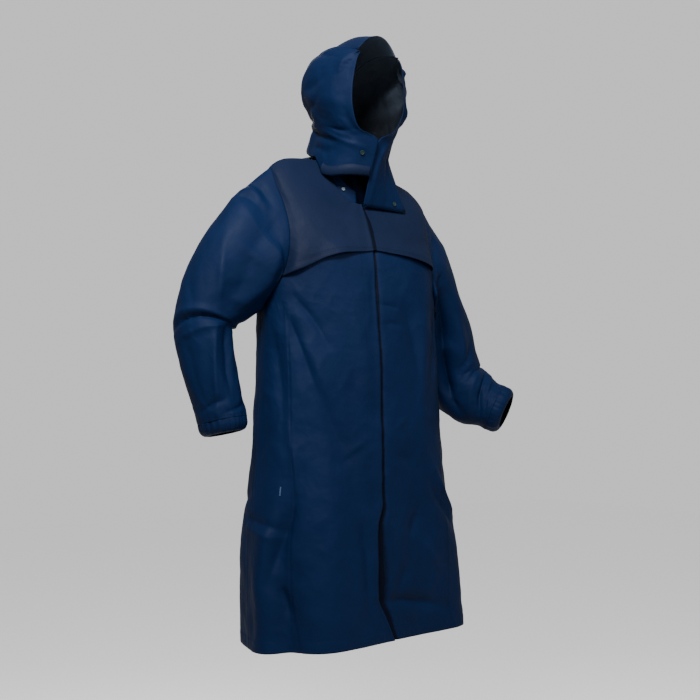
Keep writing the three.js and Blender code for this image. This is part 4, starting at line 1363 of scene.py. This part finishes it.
def cuff_point(side, ring, turn):
    along = column(CUFF_RINGS, ring, "along")
    share = column(CUFF_RINGS, ring, "share")
    share = share + CUFF_PLEATS * pleats(turn) * fade(ring, *CUFF_PLEATED)
    share = share + CUFF_WAVE * np.sin(CUFF_WAVES * turn * 2 * np.pi + side)
    return sleeve_oval(side, np.full(np.shape(ring), float(SLEEVE_END)), turn, along, share)


def cuff(side):
    points = cuff_point(side, *grid(CUFF_CELLS, CUFF_TURNS))
    return panel("cuff_" + SIDES[side], points, ring=True, flip=side > 0)


# ---------- collar and hood ----------
COLLAR_CELLS = (12, 130)
COLLAR_WAVE = 1.2
COLLAR_WAVES = 23
NECK_SECTIONS = (1.3, 4.6)
NECK_EASE = 0.65
NECK_FACE = (0, 0.12)
NECK_CROWN = (0.9, 0.6)
HOOD_ROWS = np.linspace(0, HOOD_LAST, 112)
HOOD_CELLS = np.linspace(0, 1, 81)
CROWN_CELLS = np.linspace(-1, 1, 41)
FACE_ROLL = (0.9, 6)
BRIM_ROLL = (0.7, 6)
CROWN_CORE = np.array([0.0, -20.0, 120.0])
CROWN_HALF = 50
CROWN_SEED = 71
CROWN_SLACK = 0.9
CROWN_EDGE = (1, 0.6)
BAND_CELLS = np.linspace(0, 1, 22)
BAND_SHARES = np.linspace(0.02, 0.42, 60)
BAND_FOLD = 0.02
BAND_TAPER = 0.55
BAND_TAPERED = (0.12, 0.38)
BAND_ROLL = 4.0


def collar():
    share, turn = grid(*(np.linspace(0, 1, count) for count in COLLAR_CELLS))
    points = collar_point(share, turn)
    points[..., 2] += COLLAR_WAVE * np.sin(turn * COLLAR_WAVES) * share
    return panel("collar", points, flip=True, wall=COLLAR_WALL)


def dressed_hood(side, section, share, lift=0.0):
    """The hood with its folds. Over the neck it is eased towards a straight line, as its
    cloth bridges the hollow there."""
    lift = lift + hood_slack(side, section, share)
    low, high = NECK_SECTIONS
    along = np.clip((section - low) / (high - low), 0, 1)
    chord = mix(
        hood_point(side, low, share, lift), hood_point(side, high, share, lift), along[..., None])
    eased = NECK_EASE * np.sin(np.pi * along) ** 0.8 * fade(share, *NECK_FACE) * fade(share, *NECK_CROWN)
    return mix(hood_point(side, section, share, lift), chord, eased[..., None])


def brim_roll(section):
    return ridge((HOOD_LAST - section) * SECTION_LENGTH, *BRIM_ROLL)


def hood_side(side):
    section, share = grid(HOOD_ROWS, HOOD_CELLS)
    rolled = ridge(share * HOOD_ROUND, *FACE_ROLL) + brim_roll(section)
    points = dressed_hood(side, section, share, rolled)
    return panel("hood_" + SIDES[side], points, flip=side > 0, lining=LINING)


def hood_crown():
    """The strip over the top, from the brim to the nape. across: -1 at its right seam."""
    section, across = grid(HOOD_ROWS, CROWN_CELLS)
    slack = crumple(across * CROWN_HALF, section * SECTION_LENGTH, CROWN_SEED, CROWN_SLACK)
    lift = slack * fade(np.abs(across), *CROWN_EDGE) + brim_roll(section)
    left, right = hood_point(1, section, 1.0), hood_point(-1, section, 1.0)
    top = vector(0, hood_at(section, "crownY"), hood_at(section, "crownZ"))
    points = mix(right, left, ((across + 1) / 2)[..., None])
    points = points + (top - (left + right) / 2) * (1 - across**2)[..., None]
    points = points + unit(top - CROWN_CORE) * lift[..., None]
    return panel("hood_crown", points, lining=LINING)


def hood_hem():
    """Turned-out lower edge of the right throat flap. fall: 0 at its fold, 1 at the edge."""
    fall, share = grid(BAND_CELLS, BAND_SHARES)
    taper = mix(1, BAND_TAPER, fade(share, *BAND_TAPERED))
    section = mix(BAND_FOLD, BAND_WIDTH * taper, fall)
    roll = BAND_ROLL * np.sin(np.pi * fall) ** 0.7
    points = hood_point(-1, section, share, BAND_STAND + BAND_FLARE * (1 - fall) + roll)
    # The band is in the painted sheen copy of the shell colour.
    return finish_piece(cloth("hood_hem_cloth", points, shell=PAINTED_SHEEN_SHELL), "shell_cloth", "hood_hem_right")


# ---------- studs and stitches ----------
# A press stud from its middle to its rim and under it, as shares of its radius and height.
STUD_PROFILE = [
    (0.0, 0.62), (0.28, 0.6), (0.42, 0.45), (0.66, 0.5), (0.84, 1.0), (0.96, 0.85), (1.0, 0.4),
    (0.92, 0.0), (0.0, 0.0),
]
STUD_SIDES = 28
STUD_STAND = 0.5
NUDGE = 0.01
STITCH_LENGTH = 3.2
STITCH_PITCH = 4.4
STITCH_RADIUS = 0.24
STITCH_STAND = 0.3
# A stitch is a spindle: its start, four corners round its middle, and its end.
STITCH_CORNERS = ((1.4, 0), (0, 1.3), (-0.6, 0), (0, -1.3))
STITCH_FACES = [(0, 1, 2), (0, 2, 3), (0, 3, 4), (0, 4, 1), (5, 2, 1), (5, 3, 2), (5, 4, 3), (5, 1, 4)]
DOWN = np.arange(-372.0, -1096.0, -4.0)
CLOSED = np.arange(-150.0, -1094.0, -4.0)
ARMHOLE_DOWN = mix(SHOULDER_HEIGHT, UNDERARM_HEIGHT, (1 - np.cos(np.linspace(0.03, 0.97, 80) * np.pi)) / 2)
SEAM_ROWS = (1.3, -1.3)
EDGE_ROWS = (1.6, 7.4)
SIDE_ROW = 1.4
ARMHOLE_ROW = 1.0
HEM_ENDS = 0.5
YOKE_ROWS = (0.955, 0.915)
TACK_HEIGHTS = np.linspace(-757.0, -777.0, 14)
TACK_ANGLES = (-59.35, -59.0, -58.65)
TACK_STAND = 0.5
TACK_THREAD = {"pitch": 2.4, "length": 2.1, "radius": 0.55}


def lathe_stud(name, place, outward, radius, height, material):
    """A press stud: a rolled rim round a dished cap, with a raised centre."""
    side = unit(np.cross(outward, [0.0, 0.0, 1.0]))
    up = np.cross(side, outward)
    mesh = bmesh.new()
    rings = []
    for share, rise in STUD_PROFILE:
        turns = [0.0] if share == 0 else np.arange(STUD_SIDES) * 2 * np.pi / STUD_SIDES
        corners = [
            place + (side * math.cos(turn) + up * math.sin(turn)) * share * radius + outward * rise * height
            for turn in turns]
        ring = [mesh.verts.new(corner * MM) for corner in corners]
        rings.append(ring * (STUD_SIDES // len(ring)))
    for a, b in zip(rings[:-1], rings[1:]):
        for k in range(STUD_SIDES):
            n = (k + 1) % STUD_SIDES
            mesh.faces.new(list(dict.fromkeys([a[k], b[k], b[n], a[n]])))
    bmesh.ops.recalc_face_normals(mesh, faces=mesh.faces)
    data = bpy.data.meshes.new(name)
    mesh.to_mesh(data)
    mesh.free()
    data.polygons.foreach_set("use_smooth", np.ones(len(data.polygons), bool))
    data.materials.append(material)
    return add_object(name, data)


def traced(place, u, v, flip=False, lift=0.25):
    """Points and directions along a surface function at places (u, v)."""
    u, v = paired(u, v)
    across_u = place(u + NUDGE, v) - place(u - NUDGE, v)
    across_v = place(u, v + NUDGE) - place(u, v - NUDGE)
    normal = unit(np.cross(across_u, across_v)) * (-1 if flip else 1)
    return place(u, v) + normal * lift, normal


def body_traced(place, angle, height, lift=STITCH_STAND):
    """The same on the body, with the directions of its plain surface."""
    angle, height = paired(angle, height)
    normal = body_normal(angle, height)
    return place(angle, height) + normal * lift, normal


def add_stud(name, node_name, place, u, v, radius, height, material):
    """A stud on a surface function, facing the front."""
    point, outward = traced(place, u, v, lift=0)
    outward = outward if outward[1] <= 0 else -outward
    stud = lathe_stud(name, point + outward * STUD_STAND, outward, radius, height, material)
    finish_piece(stud, "stud", node_name)


def stitch_geometry(line, outward, pitch, length, radius):
    """Stitches along a line of points: slim spindles lying half in the cloth."""
    steps = np.linalg.norm(np.diff(line, axis=0), axis=1)
    travel = np.concatenate([[0.0], np.cumsum(steps)])
    starts = np.arange(0.5 * pitch, travel[-1] - length, pitch)

    def at(places, values):
        return np.stack([np.interp(places, travel, values[:, k]) for k in range(3)], -1)

    a, b, middle = (at(starts + share * length, line) for share in (0, 1, 0.5))
    up = unit(at(starts + length / 2, outward))
    side = unit(np.cross(b - a, up))
    ring = [middle + (up * rise + side * over) * radius for rise, over in STITCH_CORNERS]
    return np.stack([a, *ring, b], axis=1)


def stitches(
        name, slot, lines, material=THREAD, pitch=STITCH_PITCH, length=STITCH_LENGTH, radius=STITCH_RADIUS):
    """One piece holding the stitches of several lines, each given as points and directions."""
    cells = np.concatenate([stitch_geometry(line, out, pitch, length, radius) for line, out in lines])
    base = np.arange(len(cells))[:, None, None] * cells.shape[1]
    faces = (base + np.array(STITCH_FACES)[None]).reshape(-1, 3)
    mesh = bpy.data.meshes.new(name)
    mesh.from_pydata((cells.reshape(-1, 3) * MM).tolist(), [], faces.tolist())
    mesh.materials.append(material)
    return finish_piece(add_object(name, mesh), slot)


def front_stitches(side):
    place = partial(dressed_front, side)
    hem_angles = np.linspace(side * 89.5, float(closing(HEM_STITCH, side)) - HEM_ENDS, 160)
    lines = [body_traced(place, hem_angles, HEM_STITCH)]
    lines += [body_traced(place, seam_angle(side, DOWN) + row, DOWN) for row in SEAM_ROWS]
    lines.append(body_traced(place, side * (front_limit(ARMHOLE_DOWN) - ARMHOLE_ROW), ARMHOLE_DOWN))
    if side < 0:
        lines += [body_traced(place, closing(CLOSED) - row, CLOSED) for row in EDGE_ROWS]
    return stitches("stitching_front_" + SIDES[side], "shell_cloth", lines)


def back_stitches():
    lines = [body_traced(dressed_back, np.linspace(90 + HEM_ENDS, 270 - HEM_ENDS, 300), HEM_STITCH)]
    cut = back_limit(ARMHOLE_DOWN) + ARMHOLE_ROW
    for angle, armhole in ((90 + SIDE_ROW, cut), (270 - SIDE_ROW, 360 - cut)):
        lines.append(body_traced(dressed_back, angle, DOWN))
        lines.append(body_traced(dressed_back, armhole, ARMHOLE_DOWN))
    return stitches("stitching_back", "shell_cloth", lines)


def yoke_stitches(side):
    across = np.linspace(0.01, 0.99, 90)
    lines = [traced(partial(yoke_point, side), row, across, flip=side < 0) for row in YOKE_ROWS]
    return stitches("stitching_yoke_" + SIDES[side], "shoulder_cloth", lines)


def sleeve_stitches(side):
    """A ring of stitches just before the cuff, on the middle one of three close rings."""
    points = dressed_sleeve(side, np.array([SLEEVE_END - 0.3, SLEEVE_END - 0.2, SLEEVE_END - 0.1]))
    outward = -side * grid_normals(points, True)[1]
    line = points[1] + outward * STITCH_STAND
    closed = (np.vstack([line, line[:1]]), np.vstack([outward, outward[:1]]))
    return stitches("stitching_sleeve_" + SIDES[side], "shell_cloth", [closed])


def hood_stitches(side):
    rows = [
        (np.linspace(3.0, 8.9, 120), 0.04),
        (np.linspace(0.1, 8.9, 200), 0.985),
        (8.75, np.linspace(0.04, 0.98, 60)),
    ]
    lines = [traced(partial(dressed_hood, side), *row, flip=side > 0) for row in rows]
    return stitches("stitching_hood_" + SIDES[side], "shell_cloth", lines)


def pocket_tack():
    """A short bar tack at the mouth of the side pocket, beside the front's seam."""
    place = partial(dressed_front, -1)
    lines = [body_traced(place, angle, TACK_HEIGHTS, TACK_STAND) for angle in TACK_ANGLES]
    return stitches("pocket_bar_tack", "stud", lines, TACK, **TACK_THREAD)


# ---------- assembly ----------
backs = [back_panel(), back_stitches()]
fronts = {side: [front_panel(side), front_stitches(side)] for side in SIDES}
fronts[-1].append(pocket_tack())
yokes = {side: [yoke(side), yoke_stitches(side)] for side in SIDES}
sleeves = {side: [sleeve(side), sleeve_stitches(side)] for side in SIDES}
cuffs = {side: [cuff(side)] for side in SIDES}
neck_band = [collar()]
hoods = {side: [hood_side(side), hood_stitches(side)] for side in SIDES}
crown = [hood_crown()]
band = [hood_hem()]
add_stud("throat_stud", "snap_throat", partial(dressed_hood, -1), 1.25, 0.1, 5.2, 2.6, STUD)
add_stud("flap_stud", "snap_flap", partial(dressed_hood, 1), 0.12, 0.26, 5.2, 2.4, STUD)
add_stud("collar_stud", "snap_collar", collar_point, 0.45, 0.925, 4.4, 2.4, STUD_PALE)
